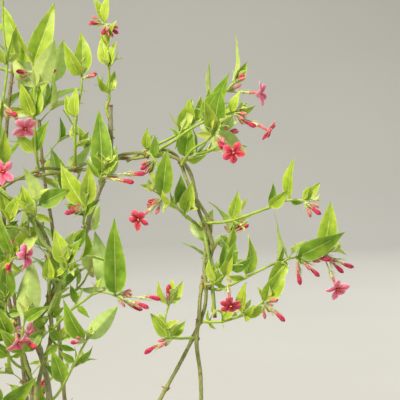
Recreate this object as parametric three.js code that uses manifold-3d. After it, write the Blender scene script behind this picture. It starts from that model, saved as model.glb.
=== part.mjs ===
// A red jasmine in flower: a young twining shrub, one clump of thin stems that rise from a woody crown.
// Millimetres. +Z is up, +X is to the right as seen from the front and +Y goes away from the front.
// The origin is the middle of the flat cut at ground level, under the crown.
//
// Stems are tapering tubes that pass through a few places each. A spray is one side shoot: a thin twig with
// opposite pairs of lance-shaped leaves and the flowers and buds at its nodes, fused into one solid.
import * as THREE from "three";
import { mergeVertices } from "three/addons/utils/BufferGeometryUtils.js";
import Module from "manifold-3d";

const wasm = await Module();
wasm.setup();

// Driving sizes
const GAP = 0.3; // between neighbouring solids
const SPLIT = 0.75; // along a stem, between its lower and its upper part
const MERGE = 1e-3; // corners nearer than this are one
const TOUCH = 1e-5; // a shared volume that is smaller counts as none
const CROWN_HEIGHT = 21;
const CROWN_RADIUS = 8.5; // at its neck
const CROWN_FLARE = 12.5; // at the ground
const STEM_MESH = { sides: 5, rings: 1.25 }; // rings: cross-sections for each place that a line passes
const TWIG_MESH = { sides: 3, rings: 1.34 };
const TWIG_RADIUS = [1.0, 0.6]; // where it leaves its stem, and at its tip
const LEAF_WIDTH = 0.33; // full width as a share of the length
const LEAF_KEEL = 0.55; // how deep its underside reaches below the line from root to tip
const STALK_WIDTH = 1.6; // of the leaf's stalk
const WIDEST = 0.36; // where the blade is widest, as a share of its length
const LEAF_FOLD = 0.15; // how far the edges stand above that line, as a share of the half width
const LEAF_ARCH = 0.05; // how far the middle bows out of the line from root to tip, as a share of the length
const TUBE_RADIUS = 1.15; // the flower's tube, at its mouth
const PETALS = 5;
const PETAL_REACH = 7.2; // from the middle of the flower to the end of a petal
const NOTCH = 0.45; // reach of a notch between petals, as a share of theirs
const DISH_DEPTH = 1.5; // how far the petals' ends stand in front of the tube's mouth
const BUD_RADIUS = 1.5;
const BUD_SLIMMEST = 0.13; // radius of a small bud, as a share of its length
const TWINE_RADIUS = 2.05; // from the shared line to each strand's own line
const TWINE_STEPS = 6; // places on each turn of a strand
const BUD_LENGTH = 13;
const FLOWER_LENGTH = 15;
const STALK_RADIUS = 0.45;
const ROOT_OUT = 0.1; // from the middle of a twig to the point inside it where an organ starts
const LAST_NODE = 0.95; // share along a twig of its last pair of leaves
const ROOT_SHARE = 0.16; // how much of an organ may lie close to the stem that carries its twig

const BARK = { color: "#8f8a5c", roughness: 0.8, metalness: 0 };
const YOUNG_BARK = { color: "#93a856", roughness: 0.65, metalness: 0 };
const FOLIAGE = { color: "#8fbf34", roughness: 0.6, metalness: 0 };

const degrees = Math.PI / 180;
const UP = new THREE.Vector3(0, 0, 1);
const TO_FRONT = new THREE.Vector3(0, -1, 0);
const vector = (place) => new THREE.Vector3(...place);

// Random numbers from 0 to 1 that are the same on every run.
function seeded(seed) {
  let state = seed >>> 0;
  return () => {
    state = (Math.imul(state, 1664525) + 1013904223) >>> 0;
    return state / 4294967296;
  };
}

// The part of a direction that is square to another one.
function squareTo(direction, axis) {
  return direction.clone().addScaledVector(axis, -direction.dot(axis)).normalize();
}

// A smooth line through some places, and the places, directions and side directions along it.
function lineThrough(places) {
  return new THREE.CatmullRomCurve3(places.map(vector), false, "catmullrom", 0.5);
}

function framesAlong(line, steps, from = 0, to = 1) {
  const frames = [];
  for (let i = 0; i <= steps; i++) {
    const share = from + ((to - from) * i) / steps;
    const along = line.getTangent(share);
    const last = frames[i - 1];
    const side = squareTo(last ? last.side : TO_FRONT, along);
    frames.push({ place: line.getPoint(share), along, side, across: side.clone().cross(along) });
  }
  return frames;
}

// Two or three strands wind round one shared line: each one's places are the line's own, moved out by a helix.
function strand(places, { turns, phase, from = 0, to = 1 }) {
  const count = Math.round(turns * TWINE_STEPS * (to - from));
  const line = lineThrough(places);
  return Array.from({ length: count + 1 }, (_, i) => {
    const share = from + i / (turns * TWINE_STEPS);
    const along = line.getTangent(share);
    const side = squareTo(TO_FRONT, along);
    const across = side.clone().cross(along);
    const angle = phase + 2 * Math.PI * turns * share;
    return line
      .getPoint(share)
      .addScaledVector(side, TWINE_RADIUS * Math.cos(angle))
      .addScaledVector(across, TWINE_RADIUS * Math.sin(angle))
      .toArray();
  });
}

// Closed surfaces to solids and back
function solidOf(geometry) {
  const bare = geometry.clone();
  bare.deleteAttribute("normal");
  bare.deleteAttribute("uv");
  const merged = mergeVertices(bare, MERGE);
  const made = new wasm.Manifold(
    new wasm.Mesh({
      numProp: 3,
      vertProperties: new Float32Array(merged.attributes.position.array),
      triVerts: new Uint32Array(merged.index.array),
    }),
  );
  if (made.volume() <= 0) throw new Error("a surface is inside out");
  return made;
}

function geometryOf(solid) {
  const mesh = solid.getMesh();
  const places = new Float32Array(mesh.numVert * 3);
  for (let i = 0; i < mesh.numVert; i++) {
    places.set(mesh.vertProperties.subarray(i * mesh.numProp, i * mesh.numProp + 3), i * 3);
  }
  return new THREE.BufferGeometry()
    .setAttribute("position", new THREE.BufferAttribute(places, 3))
    .setIndex(new THREE.BufferAttribute(mesh.triVerts, 1));
}

// The largest body of a solid.
function settled(solid) {
  const merged = solidOf(geometryOf(solid));
  return merged.decompose().sort((a, b) => b.volume() - a.volume())[0];
}

function boxesMeet(a, b) {
  const p = a.boundingBox();
  const q = b.boundingBox();
  return [0, 1, 2].every((i) => p.min[i] <= q.max[i] && q.min[i] <= p.max[i]);
}

const meet = (a, b) => boxesMeet(a, b) && a.intersect(b).volume() > TOUCH;

function clearOf(solid, others) {
  const near = others.filter((other) => boxesMeet(solid, other));
  return near.reduce((rest, other) => rest.subtract(other), solid);
}

// Moves every corner of a geometry by a function of its own place.
function reshape(geometry, move) {
  const corners = geometry.attributes.position;
  for (let i = 0; i < corners.count; i++) {
    const moved = move(new THREE.Vector3().fromBufferAttribute(corners, i));
    corners.setXYZ(i, moved.x, moved.y, moved.z);
  }
  return geometry;
}

// A tapering tube along a stretch of a line: a cylinder whose rings are carried to the line's frames.
function tube(line, [rootRadius, tipRadius], { sides, rings, from = 0, to = 1 }, extra = 0) {
  const steps = Math.max(1, Math.round((line.points.length - 1) * rings * (to - from)));
  const frames = framesAlong(line, steps, from, to);
  return solidOf(
    reshape(new THREE.CylinderGeometry(1, 1, 1, sides, steps), (corner) => {
      const ring = Math.round((corner.y + 0.5) * steps);
      const share = from + ((to - from) * ring) / steps;
      const { place, side, across } = frames[ring];
      const radius = rootRadius + (tipRadius - rootRadius) * share + extra;
      return place
        .clone()
        .addScaledVector(side, corner.x * radius)
        .addScaledVector(across, corner.z * radius);
    }),
  );
}

// A turned outline laid along a direction from a root, with its corners moved by a shape of its own.
function turned(outline, sides, { root, along, upward }, shape = (corner) => corner) {
  const side = along.clone().cross(upward);
  return solidOf(
    reshape(new THREE.LatheGeometry(outline.map(([r, y]) => new THREE.Vector2(r, y)), sides), (corner) => {
      const { x, y, z } = shape(corner);
      return root
        .clone()
        .addScaledVector(side, x)
        .addScaledVector(along, y)
        .addScaledVector(upward, z);
    }),
  );
}

// A leaf has three sides, two edges and a keel under its midrib: a stubby stalk, then a blade that is widest
// a third of the way up and drawn out to a point. The edges stand above the midrib, and the middle bows out.
function leafSolid({ root, tip, upward, width }, extra = 0) {
  const chord = tip.clone().sub(root);
  const length = chord.length();
  const outline = [
    [0, 0],
    [STALK_WIDTH / 2 + extra, STALK_WIDTH],
    [(length * width) / 2 + extra, length * WIDEST],
    [0, length],
  ];
  return turned(outline, 3, { root, along: chord.normalize(), upward: upward.clone().negate() }, (corner) => {
    const radius = Math.hypot(corner.x, corner.z);
    const share = corner.y / length;
    const arch = 4 * LEAF_ARCH * length * share * (1 - share);
    const onKeel = corner.z > 0.9 * radius;
    const x = onKeel ? 0 : Math.sign(corner.x) * radius;
    const keel = radius > 0 ? Math.min(LEAF_KEEL, radius) + extra : 0;
    return new THREE.Vector3(x, corner.y, (onKeel ? keel : -LEAF_FOLD * radius) - arch);
  });
}

// A bud is a slim club with a pointed end. An open flower is a tube with five petals round its mouth.
function budSolid({ root, tip, upward }, extra = 0) {
  const chord = tip.clone().sub(root);
  const length = chord.length();
  const bud = Math.min(length, BUD_LENGTH);
  const radius = Math.min(BUD_RADIUS, length * BUD_SLIMMEST) + extra;
  const stalk = length > bud ? [[STALK_RADIUS + extra, STALK_RADIUS]] : [];
  const neck = [radius * 0.6, length - bud * 0.85];
  const shoulder = [radius, length - bud * 0.25];
  const outline = [[0, 0], ...stalk, neck, shoulder, [0, length]];
  return turned(outline, 4, { root, along: chord.normalize(), upward });
}

// The petals are one star: every second corner of its rim is a notch between two petals. tilt turns the star
// towards the upward side, and lifts it off the mouth by as much as its back would dip into the tube.
function flowerSolid({ root, tip, upward, tilt = 0 }, extra = 0) {
  const chord = tip.clone().sub(root);
  const length = chord.length();
  const mouth = length - DISH_DEPTH;
  const stalk = length > FLOWER_LENGTH ? [[STALK_RADIUS + extra, length - FLOWER_LENGTH]] : [];
  const outline = [
    [0, 0],
    ...stalk,
    [TUBE_RADIUS + extra, mouth],
    [PETAL_REACH + extra, length],
    [0, mouth + DISH_DEPTH / 2],
  ];
  const lift = TUBE_RADIUS * Math.sin(tilt);
  return turned(outline, 2 * PETALS, { root, along: chord.normalize(), upward }, (corner) => {
    if (corner.y <= mouth) return corner;
    const turn = Math.round((Math.atan2(corner.x, corner.z) / Math.PI) * PETALS);
    const shrink = turn % 2 ? NOTCH : 1;
    const onStar = new THREE.Vector3(corner.x * shrink, corner.y - mouth + lift, corner.z * shrink);
    onStar.applyAxisAngle(new THREE.Vector3(1, 0, 0), tilt);
    return onStar.add(new THREE.Vector3(0, mouth, 0));
  });
}

const ORGANS = { leaf: leafSolid, bud: budSolid, flower: flowerSolid };

// The crown: a short woody foot with a flat underside, three root lobes that flare at the ground and a domed top.
function crownSolid(extra = 0) {
  const outline = [
    [0, 0],
    [CROWN_FLARE, 0],
    [CROWN_FLARE * 0.92, 2.5],
    [CROWN_RADIUS * 1.12, 8],
    [CROWN_RADIUS, 14],
    [CROWN_RADIUS * 0.86, CROWN_HEIGHT - 2],
    [0, CROWN_HEIGHT],
  ];
  const lobes = 3;
  const depth = 0.14;
  const geometry = new THREE.LatheGeometry(outline.map(([r, y]) => new THREE.Vector2(r, y)), 18);
  return solidOf(
    reshape(geometry, (corner) => {
      const low = 1 - corner.y / CROWN_HEIGHT;
      const lobe = 1 + depth * low * Math.cos(lobes * Math.atan2(corner.x, corner.z));
      const grown = Math.hypot(corner.x, corner.z) > 0 ? 1 + extra / CROWN_RADIUS : 1;
      const height = corner.y + (corner.y > 0 ? extra : 0);
      return new THREE.Vector3(corner.z * lobe * grown, corner.x * lobe * grown, height);
    }),
  );
}

// The shared line that the right-hand stems wind round: up the right side, round a bend and away to the left.
const TWINE_LINE = [
  [74.5, 0, 200],
  [78, 0, 217],
  [79.5, 0, 233],
  [80.5, 0, 245],
  [78.5, 1, 257],
  [74, 2, 270],
  [67.5, 2, 285],
  [60, 2, 295],
  [50, 2, 299],
  [40, 2, 297.5],
  [28, 3, 295],
  [12, 4, 291],
  [-3, 5, 289],
  [-18, 4, 287],
  [-36, 2, 281],
  [-50, 1, 277],
  [-63, 3, 280],
];
const TWINE_TURNS = 4.5;
const TWINE_BEND = 0.46; // where the line turns to the left, as a share of it
const THIRD = (2 * Math.PI) / 3;
const C_TWINE = { turns: TWINE_TURNS, phase: THIRD, from: 0.1, to: 0.24 }; // a short cut stem in the twist

// Stems: the places that each passes through from its root end, and its radius there and at its tip. A stem
// that bends round a wide gap is two solids: upper names the second one, which starts at place number bend.
const RIGHT_A = [[5, 1, 12], [27, 3, 50], [57, 5, 98], [73.5, 4, 135], [75.5, 2, 160], [73, -1, 184]];
const RIGHT_B = [[3, -4, 12], [16, -7, 60], [34, -8, 115], [51, -5, 150], [60.5, -2, 167], [68.5, 1, 182]];
const STEMS = [
  {
    name: "stem_right_a",
    upper: "arch_a",
    bend: RIGHT_A.length + TWINE_BEND * TWINE_TURNS * TWINE_STEPS,
    radius: [1.9, 0.8],
    places: [...RIGHT_A, ...strand(TWINE_LINE, { turns: TWINE_TURNS, phase: 0 })],
  },
  {
    name: "stem_right_b",
    upper: "arch_b",
    bend: RIGHT_B.length + TWINE_BEND * TWINE_TURNS * TWINE_STEPS,
    radius: [1.8, 0.8],
    places: [...RIGHT_B, ...strand(TWINE_LINE, { turns: TWINE_TURNS, phase: 2 * THIRD })],
  },
  {
    name: "stem_right_c",
    radius: [1.2, 0.95],
    young: true,
    places: [
      [84, 0, 199],
      [83, -0.5, 212],
      ...strand(TWINE_LINE, C_TWINE),
      [76, 5, 252],
      [72, 4, 256],
      [67, 1, 260],
    ],
  },
  {
    name: "stem_old_lower",
    upper: "stem_old_upper",
    bend: 9,
    radius: [2.5, 1.45],
    places: [
      ...[[-2, 2, 12], [-9, 6, 60], [-15, 9, 110], [-17, 8, 150], [-20, 5, 170], [-24.5, 3, 187]],
      ...[[-24, 1, 196], [-17.5, 0, 206], [-13.5, 2, 214], [-10, 3, 224], [-6.5, 2, 233.5], [-1, -1, 240]],
      ...[[5, -2, 247], [9.5, -1, 262], [15.6, 1, 279], [20, 0, 292], [22, -3, 304], [21.5, -5, 327]],
    ],
  },
  {
    name: "stem_pale_lower",
    upper: "stem_pale_upper",
    bend: 9,
    radius: [1.9, 0.9],
    places: [
      ...[[-4.5, -3, 12], [-14, -6, 60], [-22, -8, 110], [-23.4, -8, 150], [-21.6, -7, 162]],
      ...[[-18, -6, 175], [-14.5, -5, 186], [-14, -6, 197], [-15.5, -7, 207], [-15, -7, 220]],
      ...[[-15.4, -7, 232], [-15, -7, 243], [-19.2, -6, 253], [-26, -5, 262], [-36, -4, 269]],
      ...[[-48, -4, 273], [-62, -7, 276]],
    ],
  },
  {
    name: "stem_green",
    radius: [1.15, 0.85],
    young: true,
    places: [
      ...[[-15.5, -10, 203], [-10, -11, 216], [-7, -12, 230], [-10.5, -13, 238], [-18, -13, 246]],
      ...[[-24, -13, 258], [-30, -12.5, 267], [-39, -12, 273], [-47, -12, 280], [-56, -13, 290]],
    ],
  },
  {
    name: "stem_left",
    radius: [2.0, 1.0],
    places: [
      ...[[-6, 1, 12], [-18, -1, 60], [-27, -2, 110], [-26.4, -1, 150], [-28.5, 0, 165], [-32, 1, 178]],
      ...[[-38, 0, 200], [-42, -1, 222], [-40, -2, 236], [-43, -2, 250], [-50, -1, 264], [-58, 4, 288]],
    ],
  },
  {
    name: "stem_back_left",
    radius: [2.0, 1.0],
    places: [
      ...[[-4, 5, 12], [-16, 18, 60], [-30, 27, 120], [-38, 30, 190]],
      ...[[-46, 27, 250], [-44, 24, 310], [-39, 22, 352]],
    ],
  },
  {
    name: "stem_back",
    radius: [1.9, 0.9],
    places: [
      ...[[1, 6, 12], [0, 22, 60], [-8, 34, 120], [-14, 38, 190]],
      ...[[-16, 36, 240], [-22, 31, 285], [-24, 27, 318]],
    ],
  },
  {
    name: "stem_outer",
    radius: [1.8, 0.9],
    places: [[-7, -2, 12], [-26, -6, 60], [-48, -12, 115], [-62, -14, 170], [-70, -10, 225], [-72, -3, 280]],
  },
];

// Sprays at the front and on the open right side. places: the twig, from its stem. pairs: the share along the
// twig, then two leaves as [right, up, how much of the width shows from the front], and over 1 the leaf is
// broader. bloom: a kind, the share along the twig, [right, back, up] to the tip of the bud or flower, and how
// many degrees a flower's face is tilted from its tube to the front.
const OPEN_SIDE = [
  {
    name: "spray_top_right_a",
    places: [[31, 6, 293], [43, 12, 300], [61, 18, 309], [79, 22, 323], [99, 24, 344]],
    pairs: [
      [0.24, [1, 14, 1], [7, 8, 0.7]],
      [0.52, [8, 21, 1], [-6, 13, 0.4]],
      [0.64, [-3, 15, 0.8], [5, 17, 0.9]],
      [0.8, [-2, 28, 0.5], [10, 20, 0.9]],
      [1, [3, 30, 0.4], [9, 14, 0.9]],
    ],
    bloom: [["flower", 0.9, [23, -4, -1], 12], ["bud", 0.97, [7, -4, 6]]],
  },
  {
    name: "spray_top_right_b",
    places: [[50, 0, 300], [60, -6, 306], [70, -11, 313], [82, -15, 319], [97, -17, 323]],
    pairs: [
      [0.3, [-2, -7, 0.7], [-5, 6, 0.6]],
      [0.66, [3, 20, 0.7], [10, 19, 0.8]],
      [0.93, [6, 14, 0.9], [16, 5, 0.8]],
    ],
    bloom: [["flower", 1, [23, -3, -11]], ["bud", 0.97, [14, -4, -8]]],
  },
  {
    name: "spray_top_right_c",
    places: [[64, 0, 291], [70, -9, 300], [79, -16, 306], [84, -19, 311]],
    pairs: [
      [0.12, [3, 22, 1.2], [14, 4, 0.7]],
      [0.86, [-4, 21, 0.9], [-10, 1, 1]],
      [1, [4, 26, 1.1], [20, -12, 0.9]],
    ],
    bloom: [["flower", 1, [12, -7, -12], 60], ["bud", 0.95, [6, -5, -9]]],
  },
  {
    name: "spray_right_a",
    places: [[79, 0, 256], [93, -6, 258], [112, -14, 265], [126, -20, 271], [138, -24, 271]],
    pairs: [
      [0.26, [4, 18, 1], [7, -2, 0.5]],
      [0.55, [4, 15, 0.7], [13, 12, 1]],
      [0.78, [2, 25, 0.6], [9, -2, 0.9]],
      [0.98, [10, 11, 1], [3, 9, 0.8]],
    ],
    bloom: [["bud", 1, [10, -3, -8]], ["bud", 0.97, [7, 4, -5]]],
  },
  {
    name: "spray_right_b",
    places: [[78, 0, 217], [88, 3, 216], [104, 8, 223], [122, 13, 231], [136, 15, 234.5], [155, 16, 236.5]],
    pairs: [
      [0.18, [-2, 18, 0.9], [9, 0, 0.7]],
      [0.38, [3, 26, 0.8], [-13, 2, 0.9]],
      [0.6, [-1, 21, 0.4], [4, 10, 0.6]],
      [0.7, [-8, 28, 0.5], [-14, -19, 1]],
      [0.77, [30, 16, 1], [9, -5, 0.8]],
      [0.98, [5, 32, 1], [11, 7, 0.8]],
    ],
    bloom: [
      ["bud", 0.78, [2, -3, -17]],
      ["bud", 0.8, [12, -3, -12]],
      ["bud", 0.84, [15, -5, -2]],
      ["bud", 1, [19, -2, -8]],
      ["bud", 0.99, [13, 2, -12]],
      ["flower", 0.98, [9, -5, -22], 18],
    ],
  },
  {
    name: "spray_right_c",
    places: [[78, -2, 219], [83, -10, 221], [88, -16, 225], [92, -19, 231]],
    pairs: [
      [0.4, [-4, 14, 0.9], [8, -3, 0.8]],
      [0.72, [1, 22, 0.9], [6, 15, 1]],
      [1, [4, 17, 1], [16, 7, 0.8]],
    ],
    bloom: [["flower", 0.85, [3, -5, -20], 62]],
  },
  {
    name: "spray_right_d",
    places: [[75, 0.5, 196.5], [88, -9, 198], [101, -15, 203], [114, -19, 212]],
    pairs: [
      [0.14, [-1, 7, 0.6], [4, -5, 0.8]],
      [0.34, [7, 11, 1.2], [2, -5, 0.4]],
      [0.64, [2, 20, 0.8], [16, 5, 1]],
      [0.98, [-4, 10, 0.6], [13, 22, 1.1]],
    ],
    bloom: [["bud", 1, [13, -3, -11]], ["bud", 0.98, [9, -3, 2]], ["bud", 0.95, [5, 2, -6]]],
  },
  {
    name: "spray_middle_low",
    places: [[71, -1, 187], [62, -10, 188], [56, -14, 190], [54, -15, 198], [57, -16, 211]],
    pairs: [
      [0.42, [-12, 15, 1.1], [9, 10, 1.2]],
      [0.66, [-4, 10, 0.7], [9, 5, 0.8]],
      [1, [-6, 16, 0.6], [9, 15, 1]],
    ],
    bloom: [["bud", 0.36, [-17, -4, -9]], ["bud", 1, [0.5, -2, 13]]],
  },
  {
    name: "spray_middle_high",
    places: [[67, 1, 260], [64, -5, 263], [59, -9, 268], [52, -12, 272.5]],
    pairs: [
      [0.2, [5, 20, 1.1], [5, -4, 0.7]],
      [0.6, [4, 19, 0.9], [-3, 9, 0.6]],
      [1, [3, 29, 1], [-9, 16, 0.8]],
    ],
    bloom: [["flower", 0.97, [-15, -5, -13], 55], ["bud", 1, [-9, -3, -2]]],
  },
  {
    name: "spray_arch_low",
    places: [[43, 2, 298], [46, -5, 297], [49, -8, 293]],
    pairs: [
      [0.7, [1, 14, 1], [7, 4, 0.8]],
      [1, [-4, -8, 0.9], [6, -8, 0.8]],
    ],
    bloom: [["bud", 0.8, [-8, -4, -6]]],
  },
  {
    name: "spray_top_left",
    places: [[-22, 4, 287], [-23, -3, 301], [-23.5, -6, 321], [-23, -7, 340], [-24.5, -7, 354]],
    pairs: [
      [0.2, [8, 20, 0.9], [-12, 12, 1.1]],
      [0.46, [2, 25, 1], [-8, 22, 0.9]],
      [0.7, [14, 30, 1], [-12, 30, 0.9]],
      [0.94, [13, 38, 1], [-20, 37, 0.8]],
    ],
    bloom: [["bud", 0.85, [-11, 4, 1]], ["bud", 0.86, [13, 5, 1]]],
  },
  {
    name: "spray_far_left",
    places: [
      ...[[-45, 2, 279], [-45, -8, 300], [-41, -12, 330]],
      ...[[-38.5, -13, 350], [-40.5, -13, 372], [-41, -12, 392]],
    ],
    pairs: [
      [0.1, [-9, 20, 0.9], [3, 23, 0.8]],
      [0.34, [14, 3, 1], [-13, 14, 0.9]],
      [0.6, [-10, 20, 0.8], [5, 24, 0.6]],
      [0.96, [-7, 26, 0.8], [7, 24, 0.9]],
    ],
    bloom: [
      ["flower", 0.38, [13, -6, -12], 45],
      ["bud", 0.36, [10, -8, -4]],
      ["flower", 0.14, [1, -14, -4], 20],
    ],
  },
  {
    name: "spray_centre_tall",
    places: [[0, 4, 290], [0.6, -4, 301], [1.2, -7, 317], [4.8, -9, 336], [5.4, -9, 344]],
    pairs: [
      [0.26, [-6, 9, 0.9], [8, 10, 0.8]],
      [0.52, [-7, 15, 1.1], [1, 20, 0.9]],
      [1, [-11, 22, 0.9], [-1, 28, 1]],
    ],
    bloom: [["bud", 0.96, [9, -3, 3]]],
  },
  {
    name: "spray_old_top",
    places: [[21.5, -5, 327.4], [21, -6, 345], [21, -6, 356], [19.8, -5, 367], [18.6, -4, 377]],
    pairs: [
      [0.08, [-8, 12, 0.8], [3, 14, 1]],
      [0.32, [-5, 19, 1.2], [5, 17, 0.8]],
      [0.62, [5, 16, 0.7], [-5, 8, 0.8]],
      [0.97, [-7, 16, 0.8], [3, 18, 0.8]],
    ],
    bloom: [["bud", 0.96, [-9, -2, 1]], ["bud", 0.97, [8, -3, -6]], ["bud", 0.93, [-1, -9, -6]]],
  },
  {
    name: "spray_centre",
    places: [[16, 1, 280], [15.5, -7, 280], [16, -12, 283], [17.5, -15, 287]],
    pairs: [
      [0.66, [10, 20, 1.4], [-9, 12, 0.9]],
      [1, [-2.5, 38, 1], [10, 8, 0.9]],
    ],
    bloom: [["bud", 0.9, [26, -3, 1]], ["bud", 0.8, [20, -8, -3]]],
  },
  {
    name: "spray_centre_left",
    places: [[7, -2, 254], [6, -11, 257], [7, -16, 262], [8, -18, 267]],
    pairs: [
      [0.6, [9, 11, 0.8], [-12, 8, 0.9]],
      [1, [-16, 27, 1], [2, 25, 1]],
    ],
    bloom: [["bud", 0.85, [-9, -2, 2]], ["bud", 0.9, [-12, -6, -2]]],
  },
  {
    name: "spray_green_high",
    places: [[-24, -13, 258], [-22, -19, 263], [-21, -22, 268]],
    pairs: [
      [0.6, [-12, 10, 0.8], [10, -6, 0.9]],
      [1, [19, 10, 1.2], [-6, 24, 0.9]],
    ],
  },
  {
    name: "spray_green_low",
    places: [[-7, -12, 230], [-4, -18, 230], [-3, -21, 233]],
    pairs: [
      [0.6, [9, 3, 0.9], [-9, -6, 0.8]],
      [1, [-8, 22, 1.2], [9, 17, 0.9]],
    ],
  },
  {
    name: "spray_left_high",
    places: [[-41, -2, 233], [-38, -10, 234], [-35, -15, 237]],
    pairs: [
      [0.6, [-14, 6, 0.9], [8, -7, 0.7]],
      [1, [15, 20, 1.1], [-9, 25, 0.8]],
    ],
    bloom: [["flower", 0.95, [6, -14, -2], 10], ["bud", 0.8, [-2, -12, -5]]],
  },
  {
    name: "spray_left_upper",
    places: [[-44, -2, 251], [-41, -10, 253], [-38, -14, 257]],
    pairs: [
      [0.55, [-12, 10, 0.9], [8, 5, 1]],
      [1, [-8, 25, 0.8], [9, 19, 0.9]],
    ],
  },
  {
    name: "spray_left_middle",
    places: [[-37, 0, 197], [-38, -9, 200], [-40, -14, 205], [-40, -16, 211]],
    pairs: [
      [0.55, [12, 2, 1], [-12, 9, 0.9]],
      [1, [0, 27, 0.9], [-16, 17, 0.9]],
    ],
    bloom: [["flower", 0.4, [7, -9, -9], 10]],
  },
  {
    name: "spray_low_green",
    places: [[-17, 8, 146], [-11, -6, 153], [-5, -14, 163], [2, -17, 177], [9, -19, 190]],
    pairs: [
      [0.46, [-7, 21, 1.1], [-12, 11, 0.9]],
      [0.7, [11, 9, 0.8], [-9, 8, 1]],
      [1, [-13, 26, 0.9], [19, 21, 1]],
    ],
    bloom: [["bud", 0.95, [-9, -4, 0]]],
  },
  {
    name: "spray_low_centre",
    places: [[-14, -6, 192], [-4, -9, 203], [5, -11, 210], [15, -13, 216], [27.5, -15, 213.5]],
    pairs: [
      [0.4, [8, -7, 0.9], [-4, 13, 0.8]],
      [0.7, [-3, 22, 1], [2, 37, 0.9]],
      [0.98, [0, 47, 1], [-13, 38, 0.9]],
    ],
    bloom: [["bud", 1, [27, -2, -2]], ["bud", 0.98, [20, -5, -7]], ["bud", 0.96, [16, 3, -9]]],
  },
  {
    name: "spray_front_left",
    places: [[-23, -8, 158], [-28, -16, 172], [-30, -21, 188], [-28, -22, 202]],
    pairs: [
      [0.5, [-14, 16, 1], [13, 15, 1]],
      [1, [3, 38, 1.1], [15, 10, 0.9]],
    ],
    bloom: [["flower", 0.8, [2, -15, -4]], ["bud", 0.7, [10, -9, -4]]],
  },
  {
    name: "spray_front_round",
    places: [[-14.3, -5, 187], [-10, -12, 184], [-8, -15, 187]],
    pairs: [
      [0.7, [-10, -7, 1], [10, -4, 0.9]],
      [1, [6, 10, 1.6], [-7, 11, 1.1]],
    ],
  },
  {
    name: "spray_front_far_left",
    places: [[-29, 0, 167], [-35, -9, 172], [-39, -15, 180], [-38, -17, 190]],
    pairs: [
      [0.55, [-15, 12, 1], [10, 6, 0.7]],
      [1, [-9, 24, 1.3], [-16, 11, 1]],
    ],
  },
  {
    name: "spray_bottom_left",
    places: [[-26.6, -2, 128], [-36, -10, 136], [-44, -14, 150]],
    pairs: [
      [0.55, [-15, 10, 1], [10, -10, 0.9]],
      [1, [22, 18, 0.9], [-10, 22, 1]],
    ],
  },
  {
    name: "spray_bottom_centre",
    places: [[-15, 9, 112], [-8, -2, 119], [-3, -8, 130]],
    pairs: [
      [0.55, [14, 5, 1], [-13, 7, 0.9]],
      [1, [11, 18, 1], [-10, 17, 0.9]],
    ],
  },
];

// Bushy sprays for the sides and the back, placed by rule on a stem: from one share of its length to another,
// turned by the golden angle and kept within spread to either side of a bearing, which is in degrees and goes
// from the front over the left to the back. budding: a second bud takes the open flower's place.
const OUTER_SIDE = [
  { stem: "stem_back_left", from: 0.3, to: 0.98, count: 4, bearing: 140, spread: 50, reach: 46, leaf: 30 },
  { stem: "stem_back", from: 0.3, to: 0.98, count: 4, bearing: 190, spread: 50, reach: 46, leaf: 30 },
  { stem: "stem_outer", from: 0.42, to: 0.97, count: 4, bearing: 85, spread: 50, reach: 44, leaf: 30 },
  {
    ...{ stem: "stem_right_a", from: 0.25, to: 0.52, count: 2 },
    ...{ bearing: 226, spread: 10, reach: 36, leaf: 22, budding: true },
  },
  { stem: "stem_right_b", from: 0.04, to: 0.04, count: 1, bearing: 15, spread: 0, reach: 36, leaf: 28 },
];
const GOLDEN = 137.5;
const SHOOT_LINE = [[0.35, 0.12], [0.65, 0.4], [0.85, 0.8]]; // places as [out, up] shares of its length
const SIDE_SHOOT = 0.6; // length of a side shoot, as a share of its main shoot's
const SIDE_ANGLE = 58; // degrees between them
const LEAF_FORWARD = 0.45; // how far a ruled leaf leans along its twig, for one part outward
const BLOOM_FORWARD = 0.6; // the same for its flower and bud
const BLOOM_TURN = 2.4; // from the flower round the twig to the bud
const RULED_TILT = 20; // degrees that its flower's face is tilted upward

// A rule-placed spray: a main shoot that leaves the stem outward and turns up, and a side shoot.
function outerSpray(row, index, random) {
  const { stem, from, to, count, bearing, spread, reach, leaf, budding } = row;
  const line = lineThrough(STEMS.find((s) => s.name === stem).places);
  const share = from + ((to - from) * index) / Math.max(1, count - 1);
  const swing = ((((index * GOLDEN) % 360) - 180) / 180) * spread;
  const shoot = (root, angle, length, rise) => {
    const outward = new THREE.Vector3(-Math.sin(angle), -Math.cos(angle), 0);
    const places = SHOOT_LINE.map(([out, up]) =>
      root.clone().addScaledVector(outward, out * length).addScaledVector(UP, up * rise * length),
    );
    return [root, ...places].map((place) => place.toArray());
  };
  const angle = (bearing + swing) * degrees;
  const length = reach * (0.85 + 0.3 * random());
  const main = shoot(line.getPoint(share), angle, length, 0.7 + 0.5 * random());
  const bloom = (inBloom) => (inBloom ? [budding ? "bud" : "flower", "bud"] : []);
  const sideAngle = angle + (index % 2 ? SIDE_ANGLE : -SIDE_ANGLE) * degrees;
  const side = shoot(vector(main[1]), sideAngle, SIDE_SHOOT * length, 0.4 + 0.8 * random());
  return {
    name: `spray_${stem.slice(5)}_${index + 1}`,
    shoots: [main, side].map((places, i) => ({ places, nodes: 3 - i, bloom: bloom(i === index % 4) })),
    leaf,
  };
}

// One organ: its kind, its root sunk in the twig, its tip and the direction that its upper face looks in.
function organAt(kind, frame, reach, facing, rest = {}) {
  const along = reach.clone().normalize();
  const upward = squareTo(facing, along).applyAxisAngle(along, rest.turn ?? 0);
  const root = frame.place.clone().addScaledVector(along, ROOT_OUT);
  return { kind, root, tip: frame.place.clone().add(reach), upward, ...rest };
}

function frameAt(line, share) {
  const place = Math.min(share, LAST_NODE);
  const along = line.getTangent(place);
  return { place: line.getPoint(place), along, side: squareTo(TO_FRONT, along) };
}

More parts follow.
